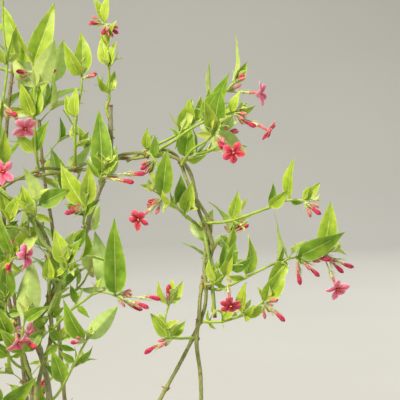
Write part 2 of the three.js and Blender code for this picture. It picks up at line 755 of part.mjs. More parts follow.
// Each organ is a list of attitudes, the first one that is free is used. A listed organ keeps its outline as
// seen from the front and leans another way in depth. A ruled one turns round its twig.
const LEANS = [1, -1, 2.1, -2.1, 0.1, 3.4, -3.4];
const TURNS = [0, 35, -35, 70, -70].map((angle) => angle * degrees);

function listedOrgans({ places, pairs, bloom = [] }, random) {
  const line = lineThrough(places);
  const leaves = pairs.flatMap(([share, ...pair], node) =>
    pair.map(([right, up, show], i) => {
      const toFront = (node + i) % 2 ? 1 : -1;
      const depth = toFront * (0.1 + 0.25 * random()) * Math.hypot(right, up);
      const width = LEAF_WIDTH * Math.max(1, show);
      const turn = toFront * Math.acos(Math.min(1, show));
      return LEANS.map((lean) => {
        const reach = new THREE.Vector3(right, lean * depth, up);
        return organAt("leaf", frameAt(line, share), reach, TO_FRONT, { turn, width });
      });
    }),
  );
  const blooms = bloom.map(([kind, share, [right, back, up], tilt = 0]) =>
    LEANS.map((lean) => {
      const reach = new THREE.Vector3(right, lean * back, up);
      return organAt(kind, frameAt(line, share), reach, TO_FRONT, { tilt: tilt * degrees });
    }),
  );
  return [...leaves, ...blooms];
}

function ruledOrgans({ places, nodes, bloom }, leaf, random) {
  const line = lineThrough(places);
  const organs = [];
  for (let node = 1; node <= nodes; node++) {
    const frame = frameAt(line, node / nodes);
    const quarter = (node * Math.PI) / 2 + 0.5 * random();
    for (const half of [0, Math.PI]) {
      const length = leaf * (0.75 + 0.4 * random());
      const lift = 0.5 + 0.4 * random();
      const turn = 0.6 * (random() - 0.5);
      organs.push(
        TURNS.map((around) => {
          const reach = frame.side
            .clone()
            .applyAxisAngle(frame.along, quarter + half + around)
            .addScaledVector(frame.along, LEAF_FORWARD)
            .addScaledVector(UP, lift)
            .setLength(length);
          return organAt("leaf", frame, reach, UP, { turn, width: LEAF_WIDTH });
        }),
      );
    }
  }
  const tip = frameAt(line, 1);
  bloom.forEach((kind, i) => {
    const first = BLOOM_TURN * i + random();
    organs.push(
      TURNS.map((around) => {
        const reach = tip.side
          .clone()
          .applyAxisAngle(tip.along, first + around)
          .addScaledVector(tip.along, BLOOM_FORWARD)
          .setLength(kind === "flower" ? FLOWER_LENGTH + 1 : BUD_LENGTH);
        return organAt(kind, tip, reach, UP, { tilt: RULED_TILT * degrees });
      }),
    );
  });
  return organs;
}

// Builds every solid. Stems come first, then all twigs, then the organs: one that would touch a stem, another
// spray's twig or another spray's organ is tried at its other attitudes and else left out.
function growPlant() {
  const plant = new THREE.Group();
  const add = (name, solid, look) => {
    const mesh = new THREE.Mesh(geometryOf(solid), new THREE.MeshStandardMaterial(look));
    mesh.name = name;
    plant.add(mesh);
  };

  const stems = [crownSolid(GAP)];
  add("crown", crownSolid(), BARK);
  for (const { name, upper, bend, radius, young, places } of STEMS) {
    const line = lineThrough(places);
    const split = bend / (places.length - 1);
    const gap = SPLIT / line.getLength();
    const parts = upper ? [[name, 0, split], [upper, split + gap, 1]] : [[name, 0, 1]];
    const bark = young ? YOUNG_BARK : BARK;
    const made = (from, to, extra) => tube(line, radius, { ...STEM_MESH, from, to }, extra);
    parts.forEach(([part, from, to]) => add(part, settled(clearOf(made(from, to, 0), stems)), bark));
    parts.forEach(([, from, to]) => stems.push(made(from, to, GAP)));
  }

  const listed = OPEN_SIDE.map((row, i) => ({
    name: row.name,
    shoots: [row],
    organs: listedOrgans(row, seeded(i + 1)),
  }));
  const ruled = OUTER_SIDE.flatMap((row, r) =>
    Array.from({ length: row.count }, (_, i) => {
      const random = seeded(100 * (r + 1) + i);
      const spray = outerSpray(row, i, random);
      return { ...spray, organs: spray.shoots.flatMap((shoot) => ruledOrgans(shoot, spray.leaf, random)) };
    }),
  );
  const sprays = [...listed, ...ruled].map(({ name, shoots, organs }) => {
    const twigs = (extra) =>
      shoots
        .map(({ places }) => tube(lineThrough(places), TWIG_RADIUS, TWIG_MESH, extra))
        .reduce((all, one) => all.add(one));
    return { name, twig: twigs(0), wide: twigs(GAP), organs };
  });

  const placed = [];
  for (const spray of sprays) {
    const twigs = sprays.filter((other) => other !== spray).map((other) => other.wide);
    const others = [...twigs, ...placed];
    let solid = spray.twig;
    for (const attitudes of spray.organs) {
      for (const organ of attitudes) {
        const shape = ORGANS[organ.kind];
        const start = organ.root.clone().lerp(organ.tip, ROOT_SHARE);
        const beyondRoot = shape({ ...organ, root: start }, GAP / 2);
        const whole = shape(organ, GAP / 2);
        if (stems.some((stem) => meet(beyondRoot, stem))) continue;
        if (others.some((other) => meet(whole, other))) continue;
        solid = solid.add(shape(organ));
        placed.push(whole);
        break;
      }
    }
    add(spray.name, settled(clearOf(solid, [...stems, ...twigs])), FOLIAGE);
  }
  return plant;
}

export default growPlant();
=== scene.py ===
"""A red jasmine in flower: a young twining shrub, rooted, with one clump of thin stems from a woody crown.

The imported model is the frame. Its stems are replaced by stems with bark, and each of its sprays by twigs,
leaves and flowers that grow by the same rule, with finer shoots at their nodes. Sizes are in millimetres until
a mesh is made. +Z is up, +X is to the right as seen from the front and +Y goes away from the front.
"""

import math

import bpy
import numpy as np
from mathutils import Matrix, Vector


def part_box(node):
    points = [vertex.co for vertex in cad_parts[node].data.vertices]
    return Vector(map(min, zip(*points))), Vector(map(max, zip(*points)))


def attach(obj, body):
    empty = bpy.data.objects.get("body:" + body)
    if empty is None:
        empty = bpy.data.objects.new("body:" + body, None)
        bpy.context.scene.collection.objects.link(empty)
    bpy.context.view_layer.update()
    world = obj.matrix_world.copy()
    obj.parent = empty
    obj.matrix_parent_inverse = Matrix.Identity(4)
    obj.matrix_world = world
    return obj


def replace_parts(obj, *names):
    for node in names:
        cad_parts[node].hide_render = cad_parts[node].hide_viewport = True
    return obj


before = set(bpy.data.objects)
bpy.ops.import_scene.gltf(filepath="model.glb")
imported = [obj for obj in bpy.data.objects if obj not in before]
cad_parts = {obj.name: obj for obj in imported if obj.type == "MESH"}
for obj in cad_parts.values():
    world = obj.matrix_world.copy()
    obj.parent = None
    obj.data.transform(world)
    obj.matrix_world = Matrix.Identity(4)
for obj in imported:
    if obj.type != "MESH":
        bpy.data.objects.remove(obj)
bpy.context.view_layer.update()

# Driving sizes, the same as in the part's source
CROWN_HEIGHT = 21
CROWN_RADIUS = 8.5
CROWN_FLARE = 12.5
CROWN_LOBES = 3
LOBE_DEPTH = 0.14
TWIG_RADIUS = (1.0, 0.6)
LEAF_WIDTH = 0.33
TUBE_RADIUS = 1.15
PETAL_REACH = 7.2
DISH_DEPTH = 1.5
BUD_RADIUS = 1.5
BUD_SLIMMEST = 0.13
TWINE_RADIUS = 2.05
TWINE_STEPS = 6
BUD_LENGTH = 13
FLOWER_LENGTH = 15
STALK_RADIUS = 0.45
ROOT_OUT = 0.1
LAST_NODE = 0.95

MM = 0.001
UP = np.array([0.0, 0.0, 1.0])
TO_FRONT = np.array([0.0, -1.0, 0.0])
SAME_PLACE = 0.05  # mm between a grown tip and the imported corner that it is
NEARBY = 1e-4  # share of a line that its direction is read over
LENGTH_STEPS = 400

# The growth rule's numbers, the same as in the part's source
THIRD = 2 * math.pi / 3
TWINE_TURNS = 4.5
LEANS = [1, -1, 2.1, -2.1, 0.1, 3.4, -3.4]
TURNS = [0, 35, -35, 70, -70]
GOLDEN = 137.5
SHOOT_LINE = [(0.35, 0.12), (0.65, 0.4), (0.85, 0.8)]
SIDE_SHOOT = 0.6
SIDE_ANGLE = 58
LEAF_FORWARD = 0.45
BLOOM_FORWARD = 0.6
BLOOM_TURN = 2.4
RULED_TILT = 20
RULED_REACH, MAIN_RISE, SIDE_RISE = (0.85, 1.15), (0.7, 1.2), (0.4, 1.2)
RULED_LENGTH, RULED_LIFT, RULED_ROLL, RULED_TURN = (0.75, 1.15), (0.5, 0.9), (-0.3, 0.3), (0, 0.5)
LISTED_DEPTH = (0.1, 0.35)

# What only the picture needs
SEED = 7
NODE_SPACING = 33  # mm between the nodes of a stem where no spray grows
RING_SPACING = 1.0
STEM_SIDES = 16
TWIG_SIDES = 12
BARK_GRAIN = 4.0  # mm of bark that take one unit of its texture
STEM_CLEAR = 3.2  # mm that young buds and finer shoots keep from the middle of any stem
SHOOT_CHANCE = 0.55
STEM_SHOOT_CHANCE = 0.9
LEAFY_FROM = 120  # mm above the ground, below which the stems are bare
BARE_END = 40  # mm below a stem's end, where only its two last shoots grow
SHARP_FROM = 55
SMALL_LEAF = 17
TURNED_OVER = 0.14  # share of the rule-placed leaves that show their pale backs
SLIM_BELOW = 0.6  # a leaf that shows less of its face than this is also a slim one
CAMERA_DISTANCE = 0.9

# Growth rule, the same as in the part's source


def unit(vectors):
    return vectors / np.linalg.norm(vectors, axis=-1, keepdims=True)


def square_to(direction, axis):
    """The part of a direction that is square to another one."""
    return unit(direction - axis * np.dot(direction, axis))


def turned_about(vector, axis, angle):
    """A vector turned about an axis."""
    cos, sin = math.cos(angle), math.sin(angle)
    return vector * cos + np.cross(axis, vector) * sin + axis * np.dot(axis, vector) * (1 - cos)


def seeded(seed):
    """Random numbers from 0 to 1 that are the same on every run."""
    factor, step, states = 1664525, 1013904223, 2**32
    state = seed
    while True:
        state = (state * factor + step) % states
        yield state / states


def drawn(random, low, high):
    return low + (high - low) * next(random)


class Line:
    """A smooth line through some places, each stretch between two of them a Catmull-Rom curve."""

    def __init__(self, places):
        places = np.array(places, float)
        first = 2 * places[0] - places[1]
        last = 2 * places[-1] - places[-2]
        self.spans = len(places) - 1
        self.places = np.vstack([first, places, last])

    def at(self, share):
        share = np.asarray(share, float)
        span = np.minimum((share * self.spans).astype(int), self.spans - 1)
        t = (share * self.spans - span)[..., None]
        before, start, end, after = (self.places[span + i] for i in range(4))
        leave = (end - before) / 2
        arrive = (after - start) / 2
        square = 3 * (end - start) - 2 * leave - arrive
        cube = 2 * (start - end) + leave + arrive
        return start + t * (leave + t * (square + t * cube))

    def along(self, share):
        share = np.asarray(share, float)
        return unit(self.at(np.minimum(share + NEARBY, 1)) - self.at(np.maximum(share - NEARBY, 0)))

    def length(self):
        places = self.at(np.linspace(0, 1, LENGTH_STEPS))
        return np.linalg.norm(np.diff(places, axis=0), axis=1).sum()


def strand(places, turns, phase, start=0, end=1):
    """One strand's places round the line that it shares: the line's own, moved out by a helix."""
    line = Line(places)
    made = []
    for i in range(round(turns * TWINE_STEPS * (end - start)) + 1):
        share = start + i / (turns * TWINE_STEPS)
        along = line.along(share)
        side = square_to(TO_FRONT, along)
        across = np.cross(side, along)
        angle = phase + 2 * math.pi * turns * share
        made.append(line.at(share) + TWINE_RADIUS * (side * math.cos(angle) + across * math.sin(angle)))
    return made


# The line that the right-hand stems twine round
TWINE_LINE = [
    *[(74.5, 0, 200), (78, 0, 217), (79.5, 0, 233), (80.5, 0, 245), (78.5, 1, 257), (74, 2, 270)],
    *[(67.5, 2, 285), (60, 2, 295), (50, 2, 299), (40, 2, 297.5), (28, 3, 295), (12, 4, 291)],
    *[(-3, 5, 289), (-18, 4, 287), (-36, 2, 281), (-50, 1, 277), (-63, 3, 280)],
]


def listed(name, places, *grown):
    """A spray that shows in the view from the front, as one row of the table below."""
    pairs = [row for row in grown if row[0] not in ("flower", "bud")]
    bloom = [row for row in grown if row[0] in ("flower", "bud")]
    return {"name": f"spray_{name}", "places": places, "pairs": pairs, "bloom": bloom}


# Sprays at the front and on the open right side: the places of the twig, from its stem on, then its pairs of
# leaves and its bloom. A pair: the share along the twig, then two leaves as (right, up, how much of the width
# shows from the front), and over 1 the leaf is broader. Bloom: its kind, the share along the twig, (right,
# back, up) to its tip, and for a flower how many degrees its face is tilted from its tube to the front.
OPEN_SIDE = [
    listed("top_right_a",
        [(31, 6, 293), (43, 12, 300), (61, 18, 309), (79, 22, 323), (99, 24, 344)],
        (0.24, (1, 14, 1), (7, 8, 0.7)), (0.52, (8, 21, 1), (-6, 13, 0.4)),
        (0.64, (-3, 15, 0.8), (5, 17, 0.9)), (0.8, (-2, 28, 0.5), (10, 20, 0.9)),
        (1, (3, 30, 0.4), (9, 14, 0.9)), ("flower", 0.9, (23, -4, -1), 12), ("bud", 0.97, (7, -4, 6))),
    listed("top_right_b",
        [(50, 0, 300), (60, -6, 306), (70, -11, 313), (82, -15, 319), (97, -17, 323)],
        (0.3, (-2, -7, 0.7), (-5, 6, 0.6)), (0.66, (3, 20, 0.7), (10, 19, 0.8)),
        (0.93, (6, 14, 0.9), (16, 5, 0.8)), ("flower", 1, (23, -3, -11)), ("bud", 0.97, (14, -4, -8))),
    listed("top_right_c",
        [(64, 0, 291), (70, -9, 300), (79, -16, 306), (84, -19, 311)], (0.12, (3, 22, 1.2), (14, 4, 0.7)),
        (0.86, (-4, 21, 0.9), (-10, 1, 1)), (1, (4, 26, 1.1), (20, -12, 0.9)),
        ("flower", 1, (12, -7, -12), 60), ("bud", 0.95, (6, -5, -9))),
    listed("right_a",
        [(79, 0, 256), (93, -6, 258), (112, -14, 265), (126, -20, 271), (138, -24, 271)],
        (0.26, (4, 18, 1), (7, -2, 0.5)), (0.55, (4, 15, 0.7), (13, 12, 1)),
        (0.78, (2, 25, 0.6), (9, -2, 0.9)), (0.98, (10, 11, 1), (3, 9, 0.8)), ("bud", 1, (10, -3, -8)),
        ("bud", 0.97, (7, 4, -5))),
    listed("right_b",
        [(78, 0, 217), (88, 3, 216), (104, 8, 223), (122, 13, 231), (136, 15, 234.5), (155, 16, 236.5)],
        (0.18, (-2, 18, 0.9), (9, 0, 0.7)), (0.38, (3, 26, 0.8), (-13, 2, 0.9)),
        (0.6, (-1, 21, 0.4), (4, 10, 0.6)), (0.7, (-8, 28, 0.5), (-14, -19, 1)),
        (0.77, (30, 16, 1), (9, -5, 0.8)), (0.98, (5, 32, 1), (11, 7, 0.8)), ("bud", 0.78, (2, -3, -17)),
        ("bud", 0.8, (12, -3, -12)), ("bud", 0.84, (15, -5, -2)), ("bud", 1, (19, -2, -8)),
        ("bud", 0.99, (13, 2, -12)), ("flower", 0.98, (9, -5, -22), 18)),
    listed("right_c",
        [(78, -2, 219), (83, -10, 221), (88, -16, 225), (92, -19, 231)], (0.4, (-4, 14, 0.9), (8, -3, 0.8)),
        (0.72, (1, 22, 0.9), (6, 15, 1)), (1, (4, 17, 1), (16, 7, 0.8)), ("flower", 0.85, (3, -5, -20), 62)),
    listed("right_d",
        [(75, 0.5, 196.5), (88, -9, 198), (101, -15, 203), (114, -19, 212)],
        (0.14, (-1, 7, 0.6), (4, -5, 0.8)), (0.34, (7, 11, 1.2), (2, -5, 0.4)),
        (0.64, (2, 20, 0.8), (16, 5, 1)), (0.98, (-4, 10, 0.6), (13, 22, 1.1)), ("bud", 1, (13, -3, -11)),
        ("bud", 0.98, (9, -3, 2)), ("bud", 0.95, (5, 2, -6))),
    listed("middle_low",
        [(71, -1, 187), (62, -10, 188), (56, -14, 190), (54, -15, 198), (57, -16, 211)],
        (0.42, (-12, 15, 1.1), (9, 10, 1.2)), (0.66, (-4, 10, 0.7), (9, 5, 0.8)),
        (1, (-6, 16, 0.6), (9, 15, 1)), ("bud", 0.36, (-17, -4, -9)), ("bud", 1, (0.5, -2, 13))),
    listed("middle_high",
        [(67, 1, 260), (64, -5, 263), (59, -9, 268), (52, -12, 272.5)], (0.2, (5, 20, 1.1), (5, -4, 0.7)),
        (0.6, (4, 19, 0.9), (-3, 9, 0.6)), (1, (3, 29, 1), (-9, 16, 0.8)),
        ("flower", 0.97, (-15, -5, -13), 55), ("bud", 1, (-9, -3, -2))),
    listed("arch_low",
        [(43, 2, 298), (46, -5, 297), (49, -8, 293)], (0.7, (1, 14, 1), (7, 4, 0.8)),
        (1, (-4, -8, 0.9), (6, -8, 0.8)), ("bud", 0.8, (-8, -4, -6))),
    listed("top_left",
        [(-22, 4, 287), (-23, -3, 301), (-23.5, -6, 321), (-23, -7, 340), (-24.5, -7, 354)],
        (0.2, (8, 20, 0.9), (-12, 12, 1.1)), (0.46, (2, 25, 1), (-8, 22, 0.9)),
        (0.7, (14, 30, 1), (-12, 30, 0.9)), (0.94, (13, 38, 1), (-20, 37, 0.8)), ("bud", 0.85, (-11, 4, 1)),
        ("bud", 0.86, (13, 5, 1))),
    listed("far_left",
        [(-45, 2, 279), (-45, -8, 300), (-41, -12, 330), (-38.5, -13, 350), (-40.5, -13, 372),
         (-41, -12, 392)],
        (0.1, (-9, 20, 0.9), (3, 23, 0.8)), (0.34, (14, 3, 1), (-13, 14, 0.9)),
        (0.6, (-10, 20, 0.8), (5, 24, 0.6)), (0.96, (-7, 26, 0.8), (7, 24, 0.9)),
        ("flower", 0.38, (13, -6, -12), 45), ("bud", 0.36, (10, -8, -4)),
        ("flower", 0.14, (1, -14, -4), 20)),
    listed("centre_tall",
        [(0, 4, 290), (0.6, -4, 301), (1.2, -7, 317), (4.8, -9, 336), (5.4, -9, 344)],
        (0.26, (-6, 9, 0.9), (8, 10, 0.8)), (0.52, (-7, 15, 1.1), (1, 20, 0.9)),
        (1, (-11, 22, 0.9), (-1, 28, 1)), ("bud", 0.96, (9, -3, 3))),
    listed("old_top",
        [(21.5, -5, 327.4), (21, -6, 345), (21, -6, 356), (19.8, -5, 367), (18.6, -4, 377)],
        (0.08, (-8, 12, 0.8), (3, 14, 1)), (0.32, (-5, 19, 1.2), (5, 17, 0.8)),
        (0.62, (5, 16, 0.7), (-5, 8, 0.8)), (0.97, (-7, 16, 0.8), (3, 18, 0.8)), ("bud", 0.96, (-9, -2, 1)),
        ("bud", 0.97, (8, -3, -6)), ("bud", 0.93, (-1, -9, -6))),
    listed("centre",
        [(16, 1, 280), (15.5, -7, 280), (16, -12, 283), (17.5, -15, 287)],
        (0.66, (10, 20, 1.4), (-9, 12, 0.9)), (1, (-2.5, 38, 1), (10, 8, 0.9)), ("bud", 0.9, (26, -3, 1)),
        ("bud", 0.8, (20, -8, -3))),
    listed("centre_left",
        [(7, -2, 254), (6, -11, 257), (7, -16, 262), (8, -18, 267)], (0.6, (9, 11, 0.8), (-12, 8, 0.9)),
        (1, (-16, 27, 1), (2, 25, 1)), ("bud", 0.85, (-9, -2, 2)), ("bud", 0.9, (-12, -6, -2))),
    listed("green_high",
        [(-24, -13, 258), (-22, -19, 263), (-21, -22, 268)], (0.6, (-12, 10, 0.8), (10, -6, 0.9)),
        (1, (19, 10, 1.2), (-6, 24, 0.9))),
    listed("green_low",
        [(-7, -12, 230), (-4, -18, 230), (-3, -21, 233)], (0.6, (9, 3, 0.9), (-9, -6, 0.8)),
        (1, (-8, 22, 1.2), (9, 17, 0.9))),
    listed("left_high",
        [(-41, -2, 233), (-38, -10, 234), (-35, -15, 237)], (0.6, (-14, 6, 0.9), (8, -7, 0.7)),
        (1, (15, 20, 1.1), (-9, 25, 0.8)), ("flower", 0.95, (6, -14, -2), 10), ("bud", 0.8, (-2, -12, -5))),
    listed("left_upper",
        [(-44, -2, 251), (-41, -10, 253), (-38, -14, 257)], (0.55, (-12, 10, 0.9), (8, 5, 1)),
        (1, (-8, 25, 0.8), (9, 19, 0.9))),
    listed("left_middle",
        [(-37, 0, 197), (-38, -9, 200), (-40, -14, 205), (-40, -16, 211)],
        (0.55, (12, 2, 1), (-12, 9, 0.9)), (1, (0, 27, 0.9), (-16, 17, 0.9)),
        ("flower", 0.4, (7, -9, -9), 10)),
    listed("low_green",
        [(-17, 8, 146), (-11, -6, 153), (-5, -14, 163), (2, -17, 177), (9, -19, 190)],
        (0.46, (-7, 21, 1.1), (-12, 11, 0.9)), (0.7, (11, 9, 0.8), (-9, 8, 1)),
        (1, (-13, 26, 0.9), (19, 21, 1)), ("bud", 0.95, (-9, -4, 0))),
    listed("low_centre",
        [(-14, -6, 192), (-4, -9, 203), (5, -11, 210), (15, -13, 216), (27.5, -15, 213.5)],
        (0.4, (8, -7, 0.9), (-4, 13, 0.8)), (0.7, (-3, 22, 1), (2, 37, 0.9)),
        (0.98, (0, 47, 1), (-13, 38, 0.9)), ("bud", 1, (27, -2, -2)), ("bud", 0.98, (20, -5, -7)),
        ("bud", 0.96, (16, 3, -9))),
    listed("front_left",
        [(-23, -8, 158), (-28, -16, 172), (-30, -21, 188), (-28, -22, 202)],
        (0.5, (-14, 16, 1), (13, 15, 1)), (1, (3, 38, 1.1), (15, 10, 0.9)), ("flower", 0.8, (2, -15, -4)),
        ("bud", 0.7, (10, -9, -4))),
    listed("front_round",
        [(-14.3, -5, 187), (-10, -12, 184), (-8, -15, 187)], (0.7, (-10, -7, 1), (10, -4, 0.9)),
        (1, (6, 10, 1.6), (-7, 11, 1.1))),
    listed("front_far_left",
        [(-29, 0, 167), (-35, -9, 172), (-39, -15, 180), (-38, -17, 190)],
        (0.55, (-15, 12, 1), (10, 6, 0.7)), (1, (-9, 24, 1.3), (-16, 11, 1))),
    listed("bottom_left",
        [(-26.6, -2, 128), (-36, -10, 136), (-44, -14, 150)], (0.55, (-15, 10, 1), (10, -10, 0.9)),
        (1, (22, 18, 0.9), (-10, 22, 1))),
    listed("bottom_centre",
        [(-15, 9, 112), (-8, -2, 119), (-3, -8, 130)], (0.55, (14, 5, 1), (-13, 7, 0.9)),
        (1, (11, 18, 1), (-10, 17, 0.9))),
]

# Sprays placed by rule on a stem: from one share of its length to another, turned by the golden angle and kept
# within spread to either side of a bearing. budding: a second bud takes the open flower's place.
OUTER_ROWS = [
    # stem, from, to, count, bearing, spread, reach, leaf, budding
    ("stem_back_left", 0.3, 0.98, 4, 140, 50, 46, 30, False),
    ("stem_back", 0.3, 0.98, 4, 190, 50, 46, 30, False),
    ("stem_outer", 0.42, 0.97, 4, 85, 50, 44, 30, False),
    ("stem_right_a", 0.25, 0.52, 2, 226, 10, 36, 22, True),
    ("stem_right_b", 0.04, 0.04, 1, 15, 0, 36, 28, False),
]
OUTER_KEYS = ("stem", "from", "to", "count", "bearing", "spread", "reach", "leaf", "budding")
OUTER_SIDE = [dict(zip(OUTER_KEYS, row)) for row in OUTER_ROWS]


def stem(bark, radius, places, upper=(), cut=None):
    """A stem: its bark, its radius in mm at some shares of it, the places that it passes through, the node that
    goes on where the part's solid was split, and which of its ends shows cut wood."""
    return {"bark": bark, "radius": radius, "places": places, "upper": upper, "cut": cut}


RIGHT_A = [(5, 1, 12), (27, 3, 50), (57, 5, 98), (73.5, 4, 135), (75.5, 2, 160), (73, -1, 184)]
RIGHT_B = [(3, -4, 12), (16, -7, 60), (34, -8, 115), (51, -5, 150), (60.5, -2, 167), (68.5, 1, 182)]
RIGHT_C = strand(TWINE_LINE, TWINE_TURNS, THIRD, start=0.1, end=0.24)
STEMS = {  # by the node that each starts in
    "stem_right_a": stem("olive", [(0, 1.9), (0.1, 1.2), (1, 0.95)],
        [*RIGHT_A, *strand(TWINE_LINE, TWINE_TURNS, 0)], upper=["arch_a"]),
    "stem_right_b": stem("olive", [(0, 1.8), (0.1, 1.1), (1, 0.95)],
        [*RIGHT_B, *strand(TWINE_LINE, TWINE_TURNS, 2 * THIRD)], upper=["arch_b"]),
    "stem_right_c": stem("green", [(0, 1.2), (0.25, 1.1), (1, 0.95)],
        [(84, 0, 199), (83, -0.5, 212), *RIGHT_C, (76, 5, 252), (72, 4, 256), (67, 1, 260)], cut="start"),
    "stem_old_lower": stem("grey", [(0, 2.5), (0.25, 1.75), (1, 1.4)],
        [(-2, 2, 12), (-9, 6, 60), (-15, 9, 110), (-17, 8, 150), (-20, 5, 170), (-24.5, 3, 187),
         (-24, 1, 196), (-17.5, 0, 206), (-13.5, 2, 214), (-10, 3, 224), (-6.5, 2, 233.5), (-1, -1, 240),
         (5, -2, 247), (9.5, -1, 262), (15.6, 1, 279), (20, 0, 292), (22, -3, 304), (21.5, -5, 327)],
        upper=["stem_old_upper"], cut="end"),
    "stem_pale_lower": stem("olive", [(0, 1.9), (0.25, 1.4), (1, 0.9)],
        [(-4.5, -3, 12), (-14, -6, 60), (-22, -8, 110), (-23.4, -8, 150), (-21.6, -7, 162),
         (-18, -6, 175), (-14.5, -5, 186), (-14, -6, 197), (-15.5, -7, 207), (-15, -7, 220),
         (-15.4, -7, 232), (-15, -7, 243), (-19.2, -6, 253), (-26, -5, 262), (-36, -4, 269),
         (-48, -4, 273), (-62, -7, 276)], upper=["stem_pale_upper"]),
    "stem_green": stem("green", [(0, 1.15), (0.25, 1.1), (1, 0.85)],
        [(-15.5, -10, 203), (-10, -11, 216), (-7, -12, 230), (-10.5, -13, 238), (-18, -13, 246),
         (-24, -13, 258), (-30, -12.5, 267), (-39, -12, 273), (-47, -12, 280), (-56, -13, 290)]),
    "stem_left": stem("brown", [(0, 2.0), (0.25, 1.5), (1, 1.0)],
        [(-6, 1, 12), (-18, -1, 60), (-27, -2, 110), (-26.4, -1, 150), (-28.5, 0, 165), (-32, 1, 178),
         (-38, 0, 200), (-42, -1, 222), (-40, -2, 236), (-43, -2, 250), (-50, -1, 264), (-58, 4, 288)]),
    "stem_back_left": stem("brown", [(0, 2.0), (0.25, 1.5), (1, 1.0)],
        [(-4, 5, 12), (-16, 18, 60), (-30, 27, 120), (-38, 30, 190), (-46, 27, 250), (-44, 24, 310),
         (-39, 22, 352)]),
    "stem_back": stem("brown", [(0, 1.9), (0.25, 1.4), (1, 0.9)],
        [(1, 6, 12), (0, 22, 60), (-8, 34, 120), (-14, 38, 190), (-16, 36, 240), (-22, 31, 285),
         (-24, 27, 318)]),
    "stem_outer": stem("brown", [(0, 1.8), (0.25, 1.4), (1, 0.9)],
        [(-7, -2, 12), (-26, -6, 60), (-48, -12, 115), (-62, -14, 170), (-70, -10, 225), (-72, -3, 280)]),
}


def outer_spray(row, index, random):
    """A rule-placed spray: a main shoot that leaves the stem outward and turns up, and a side shoot."""
    line = Line(STEMS[row["stem"]]["places"])
    share = row["from"] + (row["to"] - row["from"]) * index / max(1, row["count"] - 1)
    swing = (((index * GOLDEN) % 360) - 180) / 180 * row["spread"]

    def shoot(root, angle, length, rise):
        outward = np.array([-math.sin(angle), -math.cos(angle), 0.0])
        return [root] + [root + outward * out * length + UP * up * rise * length for out, up in SHOOT_LINE]

    angle = math.radians(row["bearing"] + swing)
    length = row["reach"] * drawn(random, *RULED_REACH)
    main = shoot(line.at(share), angle, length, drawn(random, *MAIN_RISE))
    side_angle = angle + math.radians(SIDE_ANGLE if index % 2 else -SIDE_ANGLE)
    side = shoot(main[1], side_angle, SIDE_SHOOT * length, drawn(random, *SIDE_RISE))
    bloom = ["bud" if row["budding"] else "flower", "bud"]
    return [
        {"places": places, "nodes": 3 - i, "bloom": bloom if i == index % 4 else []}
        for i, places in enumerate([main, side])
    ]


def organ_at(kind, place, reach, facing, turn=0.0, **rest):
    """One organ: its kind, its root sunk in the twig, its tip and the way that its upper face looks."""
    along = unit(reach)
    upward = turned_about(square_to(facing, along), along, turn)
    return {"kind": kind, "root": place + along * ROOT_OUT, "tip": place + reach, "upward": upward, **rest}


def frame_at(line, share):
    share = min(share, LAST_NODE)
    along = line.along(share)
    return line.at(share), along, square_to(TO_FRONT, along)


def listed_organs(row, random):
    """The attitudes of each leaf, bud and flower of a listed spray."""
    line = Line(row["places"])
    organs = []
    for node, (share, *pair) in enumerate(row["pairs"]):
        place = frame_at(line, share)[0]
        for i, (right, up, show) in enumerate(pair):
            to_front = 1 if (node + i) % 2 else -1
            depth = to_front * drawn(random, *LISTED_DEPTH) * math.hypot(right, up)
            looks = {"width": LEAF_WIDTH * max(1, show), "turn": to_front * math.acos(min(1, show))}
            looks["slim"] = show < SLIM_BELOW
            reaches = [np.array([right, lean * depth, up]) for lean in LEANS]
            organs.append([organ_at("leaf", place, reach, TO_FRONT, **looks) for reach in reaches])
    for kind, share, (right, back, up), *tilt in row["bloom"]:
        place = frame_at(line, share)[0]
        tilt = math.radians(sum(tilt))
        reaches = [np.array([right, lean * back, up]) for lean in LEANS]
        organs.append([organ_at(kind, place, reach, TO_FRONT, tilt=tilt) for reach in reaches])
    return organs


def ruled_organs(shoot, leaf, random):
    """The attitudes of each leaf, bud and flower of one shoot of a rule-placed spray."""
    line = Line(shoot["places"])
    organs = []
    for node in range(1, shoot["nodes"] + 1):
        place, along, side = frame_at(line, node / shoot["nodes"])
        quarter = node * math.pi / 2 + drawn(random, *RULED_TURN)
        for half in (0, math.pi):
            length = leaf * drawn(random, *RULED_LENGTH)
            lift = drawn(random, *RULED_LIFT)
            turn = drawn(random, *RULED_ROLL)
            attitudes = []
            for around in TURNS:
                out = turned_about(side, along, quarter + half + math.radians(around))
                reach = unit(out + LEAF_FORWARD * along + lift * UP) * length
                attitudes.append(organ_at("leaf", place, reach, UP, turn, width=LEAF_WIDTH))
            organs.append(attitudes)
    place, along, side = frame_at(line, 1)
    for i, kind in enumerate(shoot["bloom"]):
        length = FLOWER_LENGTH + 1 if kind == "flower" else BUD_LENGTH
        first = BLOOM_TURN * i + next(random)
        outs = [turned_about(side, along, first + math.radians(around)) for around in TURNS]
        reaches = [unit(out + BLOOM_FORWARD * along) * length for out in outs]
        organs.append([organ_at(kind, place, reach, UP, tilt=math.radians(RULED_TILT)) for reach in reaches])
    return organs


def mark_of(organ):
    """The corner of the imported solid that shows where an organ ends: its tip, or the middle of its star."""
    if organ["kind"] != "flower":
        return organ["tip"]
    chord = organ["tip"] - organ["root"]
    along = unit(chord)
    face = math.cos(organ["tilt"]) * along + math.sin(organ["tilt"]) * organ["upward"]
    mouth = organ["tip"] - along * DISH_DEPTH
    return mouth + face * (DISH_DEPTH / 2 + TUBE_RADIUS * math.sin(organ["tilt"]))


def grown_organs(node, organs):
    """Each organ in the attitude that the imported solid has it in. One that isn't there was left out."""
    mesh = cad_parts[node].data
    corners = np.empty(3 * len(mesh.vertices))
    mesh.vertices.foreach_get("co", corners)
    corners = corners.reshape(-1, 3) / MM
    found = []
    for attitudes in organs:
        for organ in attitudes:
            if np.linalg.norm(corners - mark_of(organ), axis=1).min() < SAME_PLACE:
                found.append(organ)
                break
    return found


